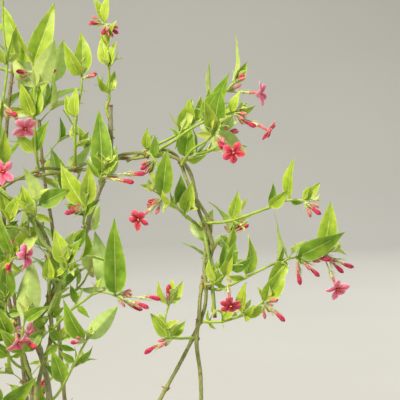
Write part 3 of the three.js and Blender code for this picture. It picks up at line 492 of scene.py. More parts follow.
def grown_sprays():
    """Every spray: its node's name, its shoots and its organs."""
    sprays = []
    for i, row in enumerate(OPEN_SIDE):
        organs = listed_organs(row, seeded(i + 1))
        shares = [share for share, *_ in row["pairs"]]
        shoots = [{"places": row["places"], "at": shares}]
        sprays.append({"name": row["name"], "shoots": shoots, "organs": organs})
    for r, row in enumerate(OUTER_SIDE):
        for i in range(row["count"]):
            random = seeded(100 * (r + 1) + i)
            shoots = outer_spray(row, i, random)
            organs = [organ for shoot in shoots for organ in ruled_organs(shoot, row["leaf"], random)]
            for shoot in shoots:
                shoot["at"] = [(n + 1) / shoot["nodes"] for n in range(shoot["nodes"])]
            name = f"spray_{row['stem'].removeprefix('stem_')}_{i + 1}"
            sprays.append({"name": name, "shoots": shoots, "organs": organs})
    for spray in sprays:
        spray["organs"] = grown_organs(spray["name"], spray["organs"])
    return sprays


# Finishes


def linear(code):
    """The linear colour of an sRGB hex value."""
    parts = [int(code[i : i + 2], 16) / 255 for i in (1, 3, 5)]
    return [c / 12.92 if c <= 0.04045 else ((c + 0.055) / 1.055) ** 2.4 for c in parts] + [1.0]


def add(tree, kind, settings=(), links=()):
    """Adds a node to a material's tree, with its settings, its sockets' values and its links."""
    node = tree.nodes.new(kind)
    for name, value in dict(settings).items():
        if isinstance(name, int) or name in node.inputs:
            node.inputs[name].default_value = value
        else:
            setattr(node, name, value)
    for name, source in dict(links).items():
        socket = source.outputs[0] if isinstance(source, bpy.types.Node) else source
        tree.links.new(socket, node.inputs[name])
    return node


def started(name):
    """An empty material and its tree."""
    material = bpy.data.materials.new(name)
    material.use_nodes = True
    material.node_tree.nodes.clear()
    return material, material.node_tree


def on_sheet(tree):
    """Where a spot is on a leaf or petal: its two shares, and how far it is from the middle line, 0 to 0.5."""
    uv = add(tree, "ShaderNodeUVMap", {"uv_map": "UVMap"})
    part = add(tree, "ShaderNodeSeparateXYZ", links={0: uv})
    across = add(tree, "ShaderNodeMath", {"operation": "SUBTRACT", 1: 0.5}, {0: part.outputs["X"]})
    return part, add(tree, "ShaderNodeMath", {"operation": "ABSOLUTE"}, {0: across})


def speckle(tree, size, detail=3.0):
    """A soft noise whose patches are size millimetres across."""
    place = add(tree, "ShaderNodeTexCoord").outputs["Object"]
    settings = {"Scale": 1 / (size * MM), "Detail": detail, "Roughness": 0.55}
    return add(tree, "ShaderNodeTexNoise", settings, {"Vector": place})


def between(tree, factor, low, high, start=0.3, end=0.7):
    """A colour that goes from low to high as the factor goes from start to end."""
    ramp = add(tree, "ShaderNodeValToRGB", links={0: factor})
    first, last = ramp.color_ramp.elements
    first.position, last.position = start, end
    first.color, last.color = linear(low), linear(high)
    return ramp


def close(tree, colour, height, relief, shader):
    """Ends a tree in one shader, with a relief of so many millimetres from a height of 0 to 1."""
    bump = add(tree, "ShaderNodeBump", {"Strength": 1.0, "Distance": relief * MM}, {"Height": height})
    skin = add(tree, "ShaderNodeBsdfPrincipled", shader, {"Base Color": colour, "Normal": bump})
    add(tree, "ShaderNodeOutputMaterial", links={"Surface": skin})


SIDE_VEINS = 11  # pairs on a leaf, a few millimetres apart on a long one
SLANT = 5.0  # how far forward they run to the margin, in their own spacing
LIGHT_PATHS = (0.5, 1.0, 0.2)  # how far red, green and blue light run in living tissue, as shares of 1.2 mm
SOFT = {"Subsurface Weight": 0.3, "Subsurface Radius": LIGHT_PATHS, "Subsurface Scale": 1.2 * MM, "IOR": 1.42}


def leaf_skin(name, shade, sun, tip):
    """Living leaf: a thin waxed skin over soft tissue. It gives a broad satin light, paler and deeper patches 6
    mm across, a blade that pales towards its margins, faint side veins that slant forward, and now and then a
    yellowed tip."""
    material, tree = started(name)
    part, out = on_sheet(tree)
    back = add(tree, "ShaderNodeMath", {"operation": "MULTIPLY", 1: -SLANT}, {0: out})
    ladder = {0: part.outputs["Y"], 2: back}
    step = add(tree, "ShaderNodeMath", {"operation": "MULTIPLY_ADD", 1: float(SIDE_VEINS)}, ladder)
    wave = add(tree, "ShaderNodeMath", {"operation": "PINGPONG", 1: 0.5}, {0: step})
    patches = speckle(tree, 6.0)
    height = add(tree, "ShaderNodeMath", {"operation": "MULTIPLY_ADD", 1: 0.1}, {0: wave, 2: patches})
    tone = add(tree, "ShaderNodeMath", {"operation": "MULTIPLY_ADD", 1: 0.45}, {0: out, 2: height})
    colour = between(tree, tone, shade, sun, 0.4, 0.9)
    spread = speckle(tree, 22.0, 1.0)
    ahead = {0: spread, 2: part.outputs["Y"]}
    reach = add(tree, "ShaderNodeMath", {"operation": "MULTIPLY_ADD", 1: 0.9}, ahead)
    tipped = between(tree, reach, "#000000", "#ffffff", 1.32, 1.5)
    shown = add(tree, "ShaderNodeMix", {"data_type": "RGBA", 7: linear(tip)}, {0: tipped, 6: colour})
    satin = {"Roughness": 0.46, "Specular IOR Level": 0.38, **SOFT}
    close(tree, shown.outputs[2], height, 0.22, satin)
    return material


def plain_skin(name, shade, sun, patch, relief, roughness, shader=()):
    """Soft living tissue of one colour that varies a little in patches: veins, undersides, stalks and tubes. It
    gives a quiet, slightly moist surface."""
    material, tree = started(name)
    patches = speckle(tree, patch)
    colour = between(tree, patches, shade, sun)
    skin = {"Roughness": roughness, "Specular IOR Level": 0.3, **SOFT, **dict(shader)}
    close(tree, colour, patches, relief, skin)
    return material


def petal_velvet(name, shade, sun, relief=0.1):
    """Petal: tiny domed cells scatter the light, so it looks like velvet. It is deep at the throat and paler
    towards the rim, with fine lines that run out to it. Its paler margins are partly its own colour and partly
    a painted highlight."""
    material, tree = started(name)
    part, out = on_sheet(tree)
    # paler towards the margins: partly the petal's own colour, partly a painted highlight
    rim = add(tree, "ShaderNodeMath", {"operation": "MULTIPLY", 1: 0.7}, {0: out})
    line = add(tree, "ShaderNodeMath", {"operation": "PINGPONG", 1: 0.07}, {0: part.outputs["X"]})
    ahead = {0: part.outputs["Y"], 2: rim}
    outward = add(tree, "ShaderNodeMath", {"operation": "MULTIPLY_ADD", 1: 0.5}, ahead)
    lined = add(tree, "ShaderNodeMath", {"operation": "MULTIPLY_ADD", 1: 1.6}, {0: line, 2: outward})
    patches = speckle(tree, 1.8)
    height = add(tree, "ShaderNodeMath", {"operation": "MULTIPLY_ADD", 1: 0.5}, {0: patches, 2: lined})
    colour = between(tree, height, shade, sun, 0.42, 1.1)
    velvet = {"Roughness": 0.6, "Sheen Weight": 0.1, "Sheen Roughness": 0.4, "Specular IOR Level": 0.2}
    close(tree, colour, height, relief, {**velvet, **SOFT})
    return material


def bark_skin(name, shade, sun, scar, relief=0.5):
    """Thin dull bark, split lengthwise as the stem thickened: long pale and dark streaks a millimetre wide,
    with small corky flecks. It gives the eye a dry, fibrous, grooved surface."""
    material, tree = started(name)
    uv = add(tree, "ShaderNodeUVMap", {"uv_map": "UVMap"})
    long = add(tree, "ShaderNodeMapping", {"Scale": (5.0, 0.5, 1.0)}, {"Vector": uv})
    grain = {"Scale": 1.6, "Detail": 4.0, "Roughness": 0.6}
    streaks = add(tree, "ShaderNodeTexNoise", grain, {"Vector": long})
    flecks = speckle(tree, 1.1, 2.0)
    colour = between(tree, streaks, shade, sun, 0.36, 0.66)
    corky = between(tree, flecks, "#000000", "#ffffff", 0.6, 0.68)
    mix = add(tree, "ShaderNodeMix", {"data_type": "RGBA", 7: linear(scar)}, {0: corky, 6: colour})
    height = add(tree, "ShaderNodeMath", {"operation": "MULTIPLY_ADD", 1: 0.3}, {0: flecks, 2: streaks})
    close(tree, mix.outputs[2], height, relief, {"Roughness": 0.78, "Specular IOR Level": 0.25})
    return material


BARKS = {
    "olive": bark_skin("old_olive_bark", "#7b8148", "#b2b872", "#7a6038"),
    "grey": bark_skin("old_grey_bark", "#7c7c58", "#b2b08c", "#65573c"),
    "brown": bark_skin("old_brown_bark", "#6f6643", "#a39a6c", "#5c4a2e"),
    "green": bark_skin("young_green_bark", "#879f45", "#adc06a", "#8a7d4c", 0.25),
}
TWIG_SKIN = plain_skin("green_twig_skin", "#8aa63c", "#b0c45c", 5.0, 0.1, 0.5)
LEAF_COLOURS = {  # the blade in shade, in sun and at its tip, then veins and underside, each in shade and sun
    "young": ("#93ac2a", "#c3d155", "#c98f4a", "#bccc60", "#d8e094", "#bac96c", "#cdd98a"),
    "sunlit": ("#7f991e", "#b3c542", "#b8a63c", "#a9bd50", "#c8d482", "#adc068", "#c1cf84"),
    # the darkest look: an older leaf's deeper green, and also painted shade for the sprays low in the plant
    "mature": ("#5f8014", "#91ab34", "#94a034", "#8aa740", "#b0c370", "#9fb662", "#b4c57a"),
}
LEAF_LOOKS = {
    age: [
        leaf_skin(f"{age}_leaf", *colours[:3]),
        plain_skin(f"{age}_leaf_vein", *colours[3:5], 3.0, 0.05, 0.5),
        plain_skin(f"{age}_leaf_underside", *colours[5:], 3.0, 0.15, 0.62),
    ]
    for age, colours in LEAF_COLOURS.items()
}
BLOOM_LOOKS = [
    plain_skin("calyx_skin", "#98ac54", "#d0d49c", 1.2, 0.05, 0.55),
    plain_skin("tube_cream", "#d8d69a", "#eee0bc", 2.0, 0.05, 0.5),
    plain_skin("tube_rose", "#bd4a58", "#e39a90", 0.9, 0.05, 0.5),
    petal_velvet("petal_rose", "#9c0822", "#ee5c7c"),
    petal_velvet("petal_back_pink", "#c43a5c", "#ee94aa"),
    plain_skin("throat_red", "#8f0f2e", "#b41c40", 0.8, 0.03, 0.55),
    plain_skin("eye_yellow", "#d8a03a", "#efc860", 0.4, 0.05, 0.6),
    plain_skin("bud_red", "#9c1030", "#d8486a", 1.3, 0.08, 0.55),
    # paler petals of older flowers, and for far_left also painted light on flowers that lie in shade
    petal_velvet("petal_faded", "#ca2e5a", "#fc98b8"),
    petal_velvet("petal_back_faded", "#e06c94", "#fdc0d2"),
]
CUT_WOOD = plain_skin("cut_wood", "#6a4426", "#a5784a", 0.8, 0.15, 0.85, {"Subsurface Weight": 0.0})
WITHERED = plain_skin("withered_scale", "#7a4a2a", "#b98a58", 1.0, 0.2, 0.85, {"Subsurface Weight": 0.0})


# Closed surfaces


def placed(name, data):
    """A new object in the scene."""
    thing = bpy.data.objects.new(name, data)
    bpy.context.scene.collection.objects.link(thing)
    return thing


def angles_of(count):
    """So many angles all round, as one row."""
    return np.linspace(0, 2 * np.pi, count, endpoint=False)[None, :]


class Pile:
    """Closed surfaces of one kind, gathered into one mesh: corners, four-sided faces, their looks and UVs."""

    def __init__(self, name, finishes, slot):
        self.name = name
        self.finishes = finishes
        self.slot = slot
        self.corners, self.faces, self.looks, self.uvs = [], [], [], []
        self.count = 0

    def add(self, corners, faces, looks, uvs):
        self.corners.append(corners)
        self.faces.append(faces + self.count)
        self.looks.append(np.broadcast_to(looks, len(faces)))
        self.uvs.append(uvs[faces])
        self.count += len(corners)

    def built(self):
        """The gathered surfaces as one object that rides on the plant's body."""
        corners = np.concatenate(self.corners) * MM
        faces = np.concatenate(self.faces)
        mesh = bpy.data.meshes.new(self.name)
        mesh.vertices.add(len(corners))
        mesh.vertices.foreach_set("co", corners.ravel())
        mesh.loops.add(faces.size)
        mesh.loops.foreach_set("vertex_index", faces.ravel())
        mesh.polygons.add(len(faces))
        mesh.polygons.foreach_set("loop_start", np.arange(0, faces.size, 4))
        mesh.polygons.foreach_set("material_index", np.concatenate(self.looks))
        mesh.uv_layers.new(name="UVMap").data.foreach_set("uv", np.concatenate(self.uvs).ravel())
        mesh.update(calc_edges=True)
        mesh.validate()
        mesh.polygons.foreach_set("use_smooth", np.ones(len(mesh.polygons), bool))
        mesh.set_sharp_from_angle(angle=math.radians(SHARP_FROM))
        for finish in self.finishes:
            mesh.materials.append(finish)
        piece = placed(self.name, mesh)
        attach(piece, "root")
        return piece


def pairs_of(across, ahead):
    """The UVs of a net of corners, from its columns' and its rows' places."""
    return np.stack(np.broadcast_arrays(across, ahead), axis=-1).reshape(-1, 2)


def moved(place, ways, sizes):
    """Corners that lie so many mm along each of some ways from a place."""
    return place + sum(size[..., None] * way for size, way in zip(np.broadcast_arrays(*sizes), ways))


def add_sheet(pile, upper, lower, looks, uv):
    """Adds a thin closed sheet between two nets of corners, each in rows and columns. looks: those of its upper
    faces, its lower faces and its rims."""
    rows, columns = upper.shape[:2]
    number = np.arange(rows * columns).reshape(rows, columns)
    under = number + rows * columns

    def quads(a, b, c, d):
        return np.stack([a, b, c, d], axis=-1).reshape(-1, 4)

    top = quads(number[:-1, :-1], number[:-1, 1:], number[1:, 1:], number[1:, :-1])
    bottom = quads(under[:-1, :-1], under[1:, :-1], under[1:, 1:], under[:-1, 1:])
    rims = np.concatenate([
        quads(number[0, :-1], under[0, :-1], under[0, 1:], number[0, 1:]),
        quads(number[-1, 1:], under[-1, 1:], under[-1, :-1], number[-1, :-1]),
        quads(number[:-1, 0], number[1:, 0], under[1:, 0], under[:-1, 0]),
        quads(number[1:, -1], number[:-1, -1], under[:-1, -1], under[1:, -1]),
    ])
    corners = np.concatenate([upper.reshape(-1, 3), lower.reshape(-1, 3)])
    faces = [top, bottom, rims]
    looks = [np.broadcast_to(look, len(part)) for look, part in zip(looks, faces)]
    pile.add(corners, np.concatenate(faces), np.concatenate(looks), np.concatenate([uv, uv]))


def carried_frames(line, shares):
    """Places along a line with a side and an across direction each, carried on without twist."""
    places = line.at(shares)
    alongs = line.along(shares)
    sides = [square_to(TO_FRONT, alongs[0])]
    for along in alongs[1:]:
        sides.append(square_to(sides[-1], along))
    sides = np.array(sides)
    return places, sides, np.cross(alongs, sides)


def add_tube(pile, frames, radii, look, grain=1.0):
    """Adds a closed tube. radii: for each ring, one radius or one for each of its corners, an even number."""
    places, sides, acrosses = frames
    rings, count = radii.shape
    angle = angles_of(count) + np.pi
    cos, sin = np.cos(angle)[..., None], np.sin(angle)[..., None]
    corners = places[:, None] + (cos * sides[:, None] + sin * acrosses[:, None]) * radii[..., None]
    number = np.arange(rings * count).reshape(rings, count)
    turned = np.roll(number, -1, axis=1)
    wall = np.stack([number[:-1], turned[:-1], turned[1:], number[1:]], axis=-1).reshape(-1, 4)
    half = np.arange(count // 2 - 1)
    cap = np.stack([half, half + 1, count - 2 - half, count - 1 - half], axis=-1)
    faces = np.concatenate([wall, cap[:, ::-1], cap + (rings - 1) * count])
    steps = np.linalg.norm(np.diff(places, axis=0), axis=1)
    ahead = np.concatenate([[0], np.cumsum(steps)]) / grain
    look = np.broadcast_to(look, rings - 1)
    ends = [np.full(len(cap), look[0]), np.full(len(cap), look[-1])]
    looks = np.concatenate([np.repeat(look, count), *ends])
    pile.add(corners.reshape(-1, 3), faces, looks, pairs_of(np.abs(angle / np.pi - 2), ahead[:, None]))


def straight_frames(root, along, upward, heights):
    """Frames on a straight line, at heights from its root."""
    heights = np.asarray(heights, float)[:, None]
    sides, acrosses = (np.tile(way, heights.shape) for way in (upward, np.cross(along, upward)))
    return root + heights * along, sides, acrosses


def rounded(radii, count):
    """A tube's radii, each the same at all its corners."""
    return np.tile(np.asarray(radii, float)[:, None], (1, count))


def add_straight(pile, frame_ways, profile, count, look, size=1):
    """Adds a straight round tube. profile: heights in mm from its root, and radii."""
    heights, radii = zip(*profile)
    add_tube(pile, straight_frames(*frame_ways, heights), rounded(np.array(radii) * size, count), look)


def add_round(pile, line, radii, count, look):
    """Adds a round tube along a line, whose radii are evenly spaced on it."""
    add_tube(pile, carried_frames(line, np.linspace(0, 1, len(radii))), rounded(radii, count), look)


def add_spike(pile, root, tip, radius, sag, look, blunt=0.15):
    """Adds a thin tapering tube from a root to a tip that sags on its way. blunt: its end, as a share."""
    line = Line([root, (root + tip) / 2 + sag, tip])
    add_round(pile, line, radius * (1 - (1 - blunt) * np.linspace(0, 1, 5)), 4, look)


# Leaves

# Corners across half a blade, as shares of its width: the midrib, the net with one long vein in its middle, and
# the pale rim. Midrib and rim are drawn about twice as broad as real ones, so that they show.
HALF_BLADE = [0.05, 0.3, 0.5, 0.7, 0.91, 1.0]
BLADE_NET = np.array([[-c for c in reversed(HALF_BLADE)] + HALF_BLADE])
SMALL_NET = np.array([[-1, -0.5, -0.07, 0.07, 0.5, 1]])
MIDRIB, RIM = 0.04, 0.94  # faces nearer to the middle or farther from it have the veins' colour
VEIN_GROOVE = 0.08
BLADE, VEIN, UNDERSIDE = 0, 1, 2
BROADER = [(12, 1.25), (24, 1.2), (36, 1.1), (46, 0.85)]  # length in mm, and width as a share of the solid's
STALK, LONGEST_STALK, STALK_HALF = 2.4, 0.12, 0.42  # mm, its greatest share of the leaf, half its width in mm
ROUND_BASE, LONG_POINT = (0.38, 0.56), (1.02, 1.35)  # powers of the outline's two ends
FOLD, ARCH, CURL = (0.2, 0.8), (0.01, 0.085), (0.2, 0.8)
CURL_FROM = 0.62
SICKLE, TWIST = (-0.035, 0.035), (-0.5, 0.5)
WAVE, WAVES = (0.004, 0.02), (7, 12)


def laid_out(organ):
    """Where an organ starts and ends, the way that its face looks, its length and its direction."""
    chord = organ["tip"] - organ["root"]
    return organ["root"], organ["tip"], organ["upward"], np.linalg.norm(chord), unit(chord)


def add_leaf(pile, organ, random, rows=17, net=BLADE_NET):
    """A leaf: a short stalk and a lance-shaped blade, folded at its midrib, that arches and twists a little."""
    root, _, upward, length, along = laid_out(organ)
    side = np.cross(along, upward)
    share = ((1 - np.cos(np.pi * np.linspace(0, 1, rows))) / 2)[:, None]
    stalk = min(STALK / length, LONGEST_STALK)
    blade = np.clip((share - stalk) / (1 - stalk), 0, 1)
    start, finish = random.uniform(*ROUND_BASE), random.uniform(*LONG_POINT)
    widest = start / (start + finish)
    outline = (blade / widest) ** start * ((1 - blade) / (1 - widest)) ** finish
    width = organ["width"] * np.interp(length, *zip(*BROADER))
    half = np.maximum(length * width / 2 * outline, np.where(blade > 0, 0.06, STALK_HALF))
    fold = random.uniform(*FOLD) * (1 - 0.4 * share)
    if organ.get("slim"):
        half, fold = half * 0.5, fold * 0.5
    arch = random.uniform(*ARCH) * length
    curl = random.choice([0, 1]) * random.uniform(*CURL) * length
    sickle = random.uniform(*SICKLE) * length
    wave = random.uniform(*WAVE) * length * np.sin(random.uniform(*WAVES) * share + random.uniform(0, 6))
    twist = random.uniform(*TWIST) * share**2
    x = net * half
    z = np.abs(x) * fold + wave * net**2
    midrib = np.abs(net) < 0.1
    veined = np.abs(np.abs(net) - 0.5) < 0.05
    skin = np.where(blade > 0, 0.16 - 0.08 * np.abs(net), 0.36)
    over = z + skin - np.where(midrib, 0.1, 0) * (blade > 0) - np.where(veined, VEIN_GROOVE, 0)
    under = z - skin - np.where(midrib, 0.3 * (1 - share), 0)
    bow = 4 * arch * share * (1 - share) - curl * np.clip(share - CURL_FROM, 0, 1) ** 2

    def laid(height):
        right = x * np.cos(twist) - height * np.sin(twist) + sickle * np.sin(np.pi * share)
        out = x * np.sin(twist) + height * np.cos(twist) + bow
        return moved(root, (side, along, upward), (right, share * length, out))

    middle = np.abs((net[0, :-1] + net[0, 1:]) / 2)
    looks_over = np.where((middle < MIDRIB) | (middle > RIM), VEIN, BLADE)
    looks_under = np.where(middle < MIDRIB, VEIN, UNDERSIDE)
    looks = [np.tile(looks_over, rows - 1), np.tile(looks_under, rows - 1), VEIN]
    add_sheet(pile, laid(over), laid(under), looks, pairs_of((net + 1) / 2, share))


# Buds and flowers

CALYX, TUBE_PALE, TUBE_PINK, PETAL, PETAL_BACK, THROAT, EYE, BUD_RED, FADED, FADED_BACK = range(10)
CUP = [(0, 0.75), (0.5, 1.15), (1.3, 1.35), (2.2, 1.5)]  # mm above its root, and share of the tube's radius
TEETH, TOOTH_LENGTH, TOOTH_SPREAD, SPREAD_OUT = (5, 8), (4.6, 7.8), (0.04, 0.3), [0, 0, 0, 0.3]


def add_calyx(pile, root, along, upward, radius, random, size=1.0):
    """A small green cup with five to seven long thin teeth that lie along the tube."""
    add_straight(pile, (root, along, upward), CUP, 10, CALYX, radius)
    teeth = random.integers(*TEETH)
    for i in range(teeth):
        angle = 2 * math.pi * (i + random.uniform(-0.2, 0.2)) / teeth
        out = turned_about(upward, along, angle)
        base = root + along * 1.9 + out * radius * 1.25
        spread = random.uniform(*TOOTH_SPREAD) + random.choice(SPREAD_OUT)
        end = base + unit(along + out * spread) * random.uniform(*TOOTH_LENGTH) * size
        add_spike(pile, base, end, 0.27, out * 0.2, CALYX)


def add_stalk(pile, root, end):
    """The thin green stalk below a calyx, that sags a little."""
    add_round(pile, Line([root, (root + end) / 2 + UP * -0.2, end]), [STALK_RADIUS] * 6, 8, CALYX)


PETAL_WIDTH, PETAL_WIDTHS, PETAL_LENGTHS = 4.5, (0.9, 1.08), (0.92, 1.04)  # mm, and how much single ones differ
PETAL_LIFT = (-1.3, 1.7)  # mm that a petal's end stands behind or before the flower's dish
PETAL_FROM, PETAL_SKIN = 0.75, 0.11  # mm from the flower's middle, and half of a petal's thickness
WIDEST_AT, NARROWEST, BLUNTNESS = (0.5, 0.68), 0.32, 0.75
FADED_LONGER, FADED_CURL = 1.14, 1.6
RECURVES, RECURVE_FROM = [0.3, 0.9, 1.6, 2.4], 0.4  # mm that tips bend back, and the share that it starts at


def add_petal(pile, middle, face, out, random, faded, lift):
    """One petal: narrow at the throat, broader outside, with a blunt point, its tip and margins bent back.
    lift: how far its end stands forward. A faded one is paler, has grown longer and curls more."""
    lateral = np.cross(face, out)
    across = np.linspace(-1, 1, 9)[None, :]
    share = np.linspace(0, 1, 12)[:, None]
    widest = random.uniform(*WIDEST_AT)
    narrow = NARROWEST + (1 - NARROWEST) * np.sin(np.pi / 2 * np.minimum(share / widest, 1)) ** 1.3
    beyond = (np.maximum(share - widest, 0) / (1 - widest)) ** 1.7
    rounding = np.clip(1 - beyond, 0.0005, 1) ** BLUNTNESS
    grown, curled = (FADED_LONGER, FADED_CURL) if faded else (1, 1)
    half = PETAL_WIDTH * grown * random.uniform(*PETAL_WIDTHS) / 2 * narrow * rounding
    ahead = PETAL_FROM + (PETAL_REACH * grown * random.uniform(*PETAL_LENGTHS) - PETAL_FROM) * share
    recurve = random.choice(RECURVES) * curled
    bent = np.maximum(share - RECURVE_FROM, 0) ** 2 / (1 - RECURVE_FROM) ** 2
    rise = (DISH_DEPTH + lift) * share - recurve * bent
    ripple = 0.16 * np.cos(across * 7) * share * (1 - share)
    cup = random.uniform(-1.1, -0.3) * across**2 * half / 2 + ripple
    twist = random.uniform(-0.45, 0.45) * across * half * share
    skew = random.uniform(-0.5, 0.5) * share**2

    def laid(height):
        return moved(middle, (lateral, out, face), (skew - across * half, ahead, rise + cup + twist + height))

    front, back = (FADED, FADED_BACK) if faded else (PETAL, PETAL_BACK)
    looks_over = np.repeat(np.where(np.arange(share.size - 1) < 1, THROAT, front), across.size - 1)
    skins = laid(PETAL_SKIN), laid(-PETAL_SKIN)
    add_sheet(pile, *skins, [looks_over, back, back], pairs_of((across + 1) / 2, share))


TUBE_PROFILE = [(0, 0.55), (0.12, 0.7), (0.6, 0.9), (0.9, 1.1), (1, TUBE_RADIUS)]  # share of its length, and mm
PALE_BELOW = 0.25  # share of the tube
THROAT_PROFILE = [(-0.3, 0.85), (0.12, 0.82), (0.3, 0.62), (0.32, 0.5)]  # mm
ANTHER, ANTHERS_AT = [(0, 0.3), (0.25, 0.38), (0.7, 0.34), (0.95, 0.1)], (-0.3, 0.3)  # the yellow eye, in mm


def add_flower(pile, organ, random, lifts, faded):
    """An open flower: stalk, calyx, a slim tube that bends to its face, five or six petals and a yellow eye."""
    root, tip, upward, length, along = laid_out(organ)
    tilt = organ["tilt"]
    face = math.cos(tilt) * along + math.sin(tilt) * upward
    mouth = tip - along * DISH_DEPTH
    middle = mouth + face * TUBE_RADIUS * math.sin(tilt)
    base = root + along * max(0.6, length - FLOWER_LENGTH)
    add_stalk(pile, root, base + along * 0.3)
    add_calyx(pile, base, along, upward, 0.72, random)
    line = Line([base + along * 0.5, base + (mouth - base) * 0.5, middle - face * 2.2, middle])
    shares = np.linspace(0, 1, 15)
    looks = np.where(shares[:-1] < PALE_BELOW, TUBE_PALE, TUBE_PINK)
    add_round(pile, line, np.interp(shares, *zip(*TUBE_PROFILE)), 12, looks)
    petals = random.choice([5, 5, 6])
    start = random.uniform(-0.15, 0.15)
    side = square_to(upward, face)
    for i in range(petals):
        angle = start + 2 * math.pi * (i + random.uniform(-0.12, 0.12)) / petals
        out = turned_about(side, face, angle)
        add_petal(pile, middle, face, out, random, faded, lifts.uniform(*PETAL_LIFT))
    add_straight(pile, (middle, face, side), THROAT_PROFILE, 10, THROAT)
    for offset in ANTHERS_AT:
        add_straight(pile, (middle + np.cross(face, side) * offset, face, side), ANTHER, 8, EYE)


BUD_PROFILE = [  # share of its length, and mm
    *[(0, 0.5), (0.1, 0.6), (0.25, 0.72), (0.4, 0.96), (0.52, 1.26)],
    *[(0.64, 1.45), (0.78, 1.28), (0.9, 0.78), (0.97, 0.4), (1, 0.08)],
]
YOUNG_SIZE, YOUNG_TEETH = 0.8, 0.7
FURLED, FURROW_TWIST = 5, 9  # petals in a club, and how far they turn about it, in radians


def add_bud(pile, organ, random, young=False):
    """A bud: stalk, calyx, a slim tube, and above it the furled petals as a twisted club with a pointed end. A
    young one is slimmer and hardly coloured yet."""
    root, tip, upward, length, along = laid_out(organ)
    bud = min(length - 0.6, BUD_LENGTH)
    scale = min(1, length * BUD_SLIMMEST / BUD_RADIUS) * (YOUNG_SIZE if young else 1)
    base = tip - along * bud
    add_stalk(pile, root, base + along * 0.3)
    add_calyx(pile, base, along, upward, 0.7 * scale, random, YOUNG_TEETH if young else 1)
    bend = np.cross(along, upward) * random.uniform(-0.06, 0.06) * bud
    bent = [base + along * bud * 0.45 + bend, tip - along * bud * 0.2 + bend * 0.5]
    line = Line([base + along * 0.4, *bent, tip])
    shares = np.linspace(0, 1, 26)
    radii = np.interp(shares, *zip(*BUD_PROFILE))[:, None] * scale
    angle = angles_of(20)
    depth = np.where(shares > 0.5, 0.09, 0.03)[:, None]
    furrow = depth * np.cos(FURLED * angle + FURROW_TWIST * shares[:, None])
    neck, club = (CALYX, TUBE_PINK) if young else (TUBE_PINK, BUD_RED)
    looks = np.select([shares[:-1] < 0.2, shares[:-1] < 0.36], [TUBE_PALE, neck], club)
    add_tube(pile, carried_frames(line, shares), radii * (1 + furrow), looks)


# Lists for single sprays and stems

SPRAYS = grown_sprays()
SPRAY_ROOTS = [np.array(spray["shoots"][0]["places"][0], float) for spray in SPRAYS]
STEM_PLACES = [Line(stem["places"]).at(np.linspace(0, 1, 300)) for stem in STEMS.values()]
YOUNG_SPRAYS = ["old_top", "middle_low", "centre_tall"]
# Sprays low in the plant whose leaves take the darkest look: older leaves, and painted shade there as well
MATURE_AND_SHADED_SPRAYS = [
    *["low_centre", "low_green", "bottom_left", "bottom_centre"],
    *["front_left", "front_round", "left_middle"],
]
FADED_AND_PAINTED_LIGHT_SPRAYS = [  # their flowers are older, and paler; for far_left, whose flowers lie in shade, the paler petals are also painted light
    *["top_right_a", "right_b", "far_left", "left_high"],
    *["left_middle", "front_left", "outer_1", "back_2"],
]
TURNED_LEAVES = {  # the listed leaves that show their pale backs
    "top_left": [4, 5],
    "centre": [0],
    "low_centre": [3],
    "green_high": [3],
    "low_green": [5],
    "front_left": [2],
    "top_right_c": [5],
}
SET_FLOWERS = {  # by spray and tilt in the part: degrees that a face turns to the front, and mm that it moves
    ("right_c", 62): (-24, (0, 0, 0)),
    ("middle_high", 55): (-12, (0, 0, 0)),
    ("right_b", 18): (22, (0, 0, 0)),
    ("far_left", 45): (-22, (1.5, 0, -3)),
    ("far_left", 20): (10, (4, 0, -2)),
    ("left_high", 10): (-42, (4, 0, 4)),
    ("left_middle", 10): (-38, (1, 0, -5)),
}
# The shoot at the old stem's cut tip leaves it beside the cut: its first places, in mm from its packed root
BESIDE_STUB = [(-0.8, 0, -8), (-2.0, 0, -3.5), (-1.7, 0, 0), (-0.5, 0, 3.5)]
LEAFY_STEMS = ["stem_old_lower", "stem_pale_lower", "stem_left", "stem_back_left", "stem_back", "stem_outer"]


# Stems

ON_STEM, STEM_STEPS = 3.2, 599  # mm from a stem that its sprays' roots are within, and steps of the search
STEM_SWELL, TWIG_SWELL = (0.3, 2.2), (0.35, 1.3)  # at a node: share of the radius, and mm along
# Waves round a stem and up it: the curve, its share of the radius, how many go round, and its turn in 1 mm
STEM_RIDGES = [(np.cos, 0.07, 3, 0.05), (np.cos, 0.045, 5, -0.11)]
STEM_RELIEF = [*STEM_RIDGES, (np.sin, 0.035, 2, 0.9), (np.sin, 0.04, 0, 0.23)]
CROWN_RELIEF = [(np.cos, 0.035, 17, 0.4), (np.cos, 0.025, 9, -0.5)]
CROWN_RINGS = [0, 0.02, 1, 2.5, 4, 6, 8, 10, 12, 14, 16, 18, 19, 20, 20.6, 20.97]
CROWN_PROFILE = [  # mm above the ground, and radius
    *[(0.02, CROWN_FLARE), (2.5, CROWN_FLARE * 0.92), (8, CROWN_RADIUS * 1.12), (14, CROWN_RADIUS)],
    *[(CROWN_HEIGHT - 2, CROWN_RADIUS * 0.86), (CROWN_HEIGHT, 0.4)],
]
BARE_NODES = 0.1  # share of a stem's nodes that have no scales left
SCALES = (2, 6)


def relief_of(waves, angle, ahead, starts=(0, 0)):
    """How much the waves add to a tube's radius, as a share."""
    relief = 0
    for (curve, size, count, turn), start in zip(waves, starts):
        relief = relief + size * curve(count * angle + turn * ahead + start)
    return relief


def swell_of(kind, ahead, nodes):
    """How much the nodes add to a tube's radius, as a share."""
    size, reach = kind
    return size * sum(np.exp(-(((ahead - node) / reach) ** 2)) for node in nodes)


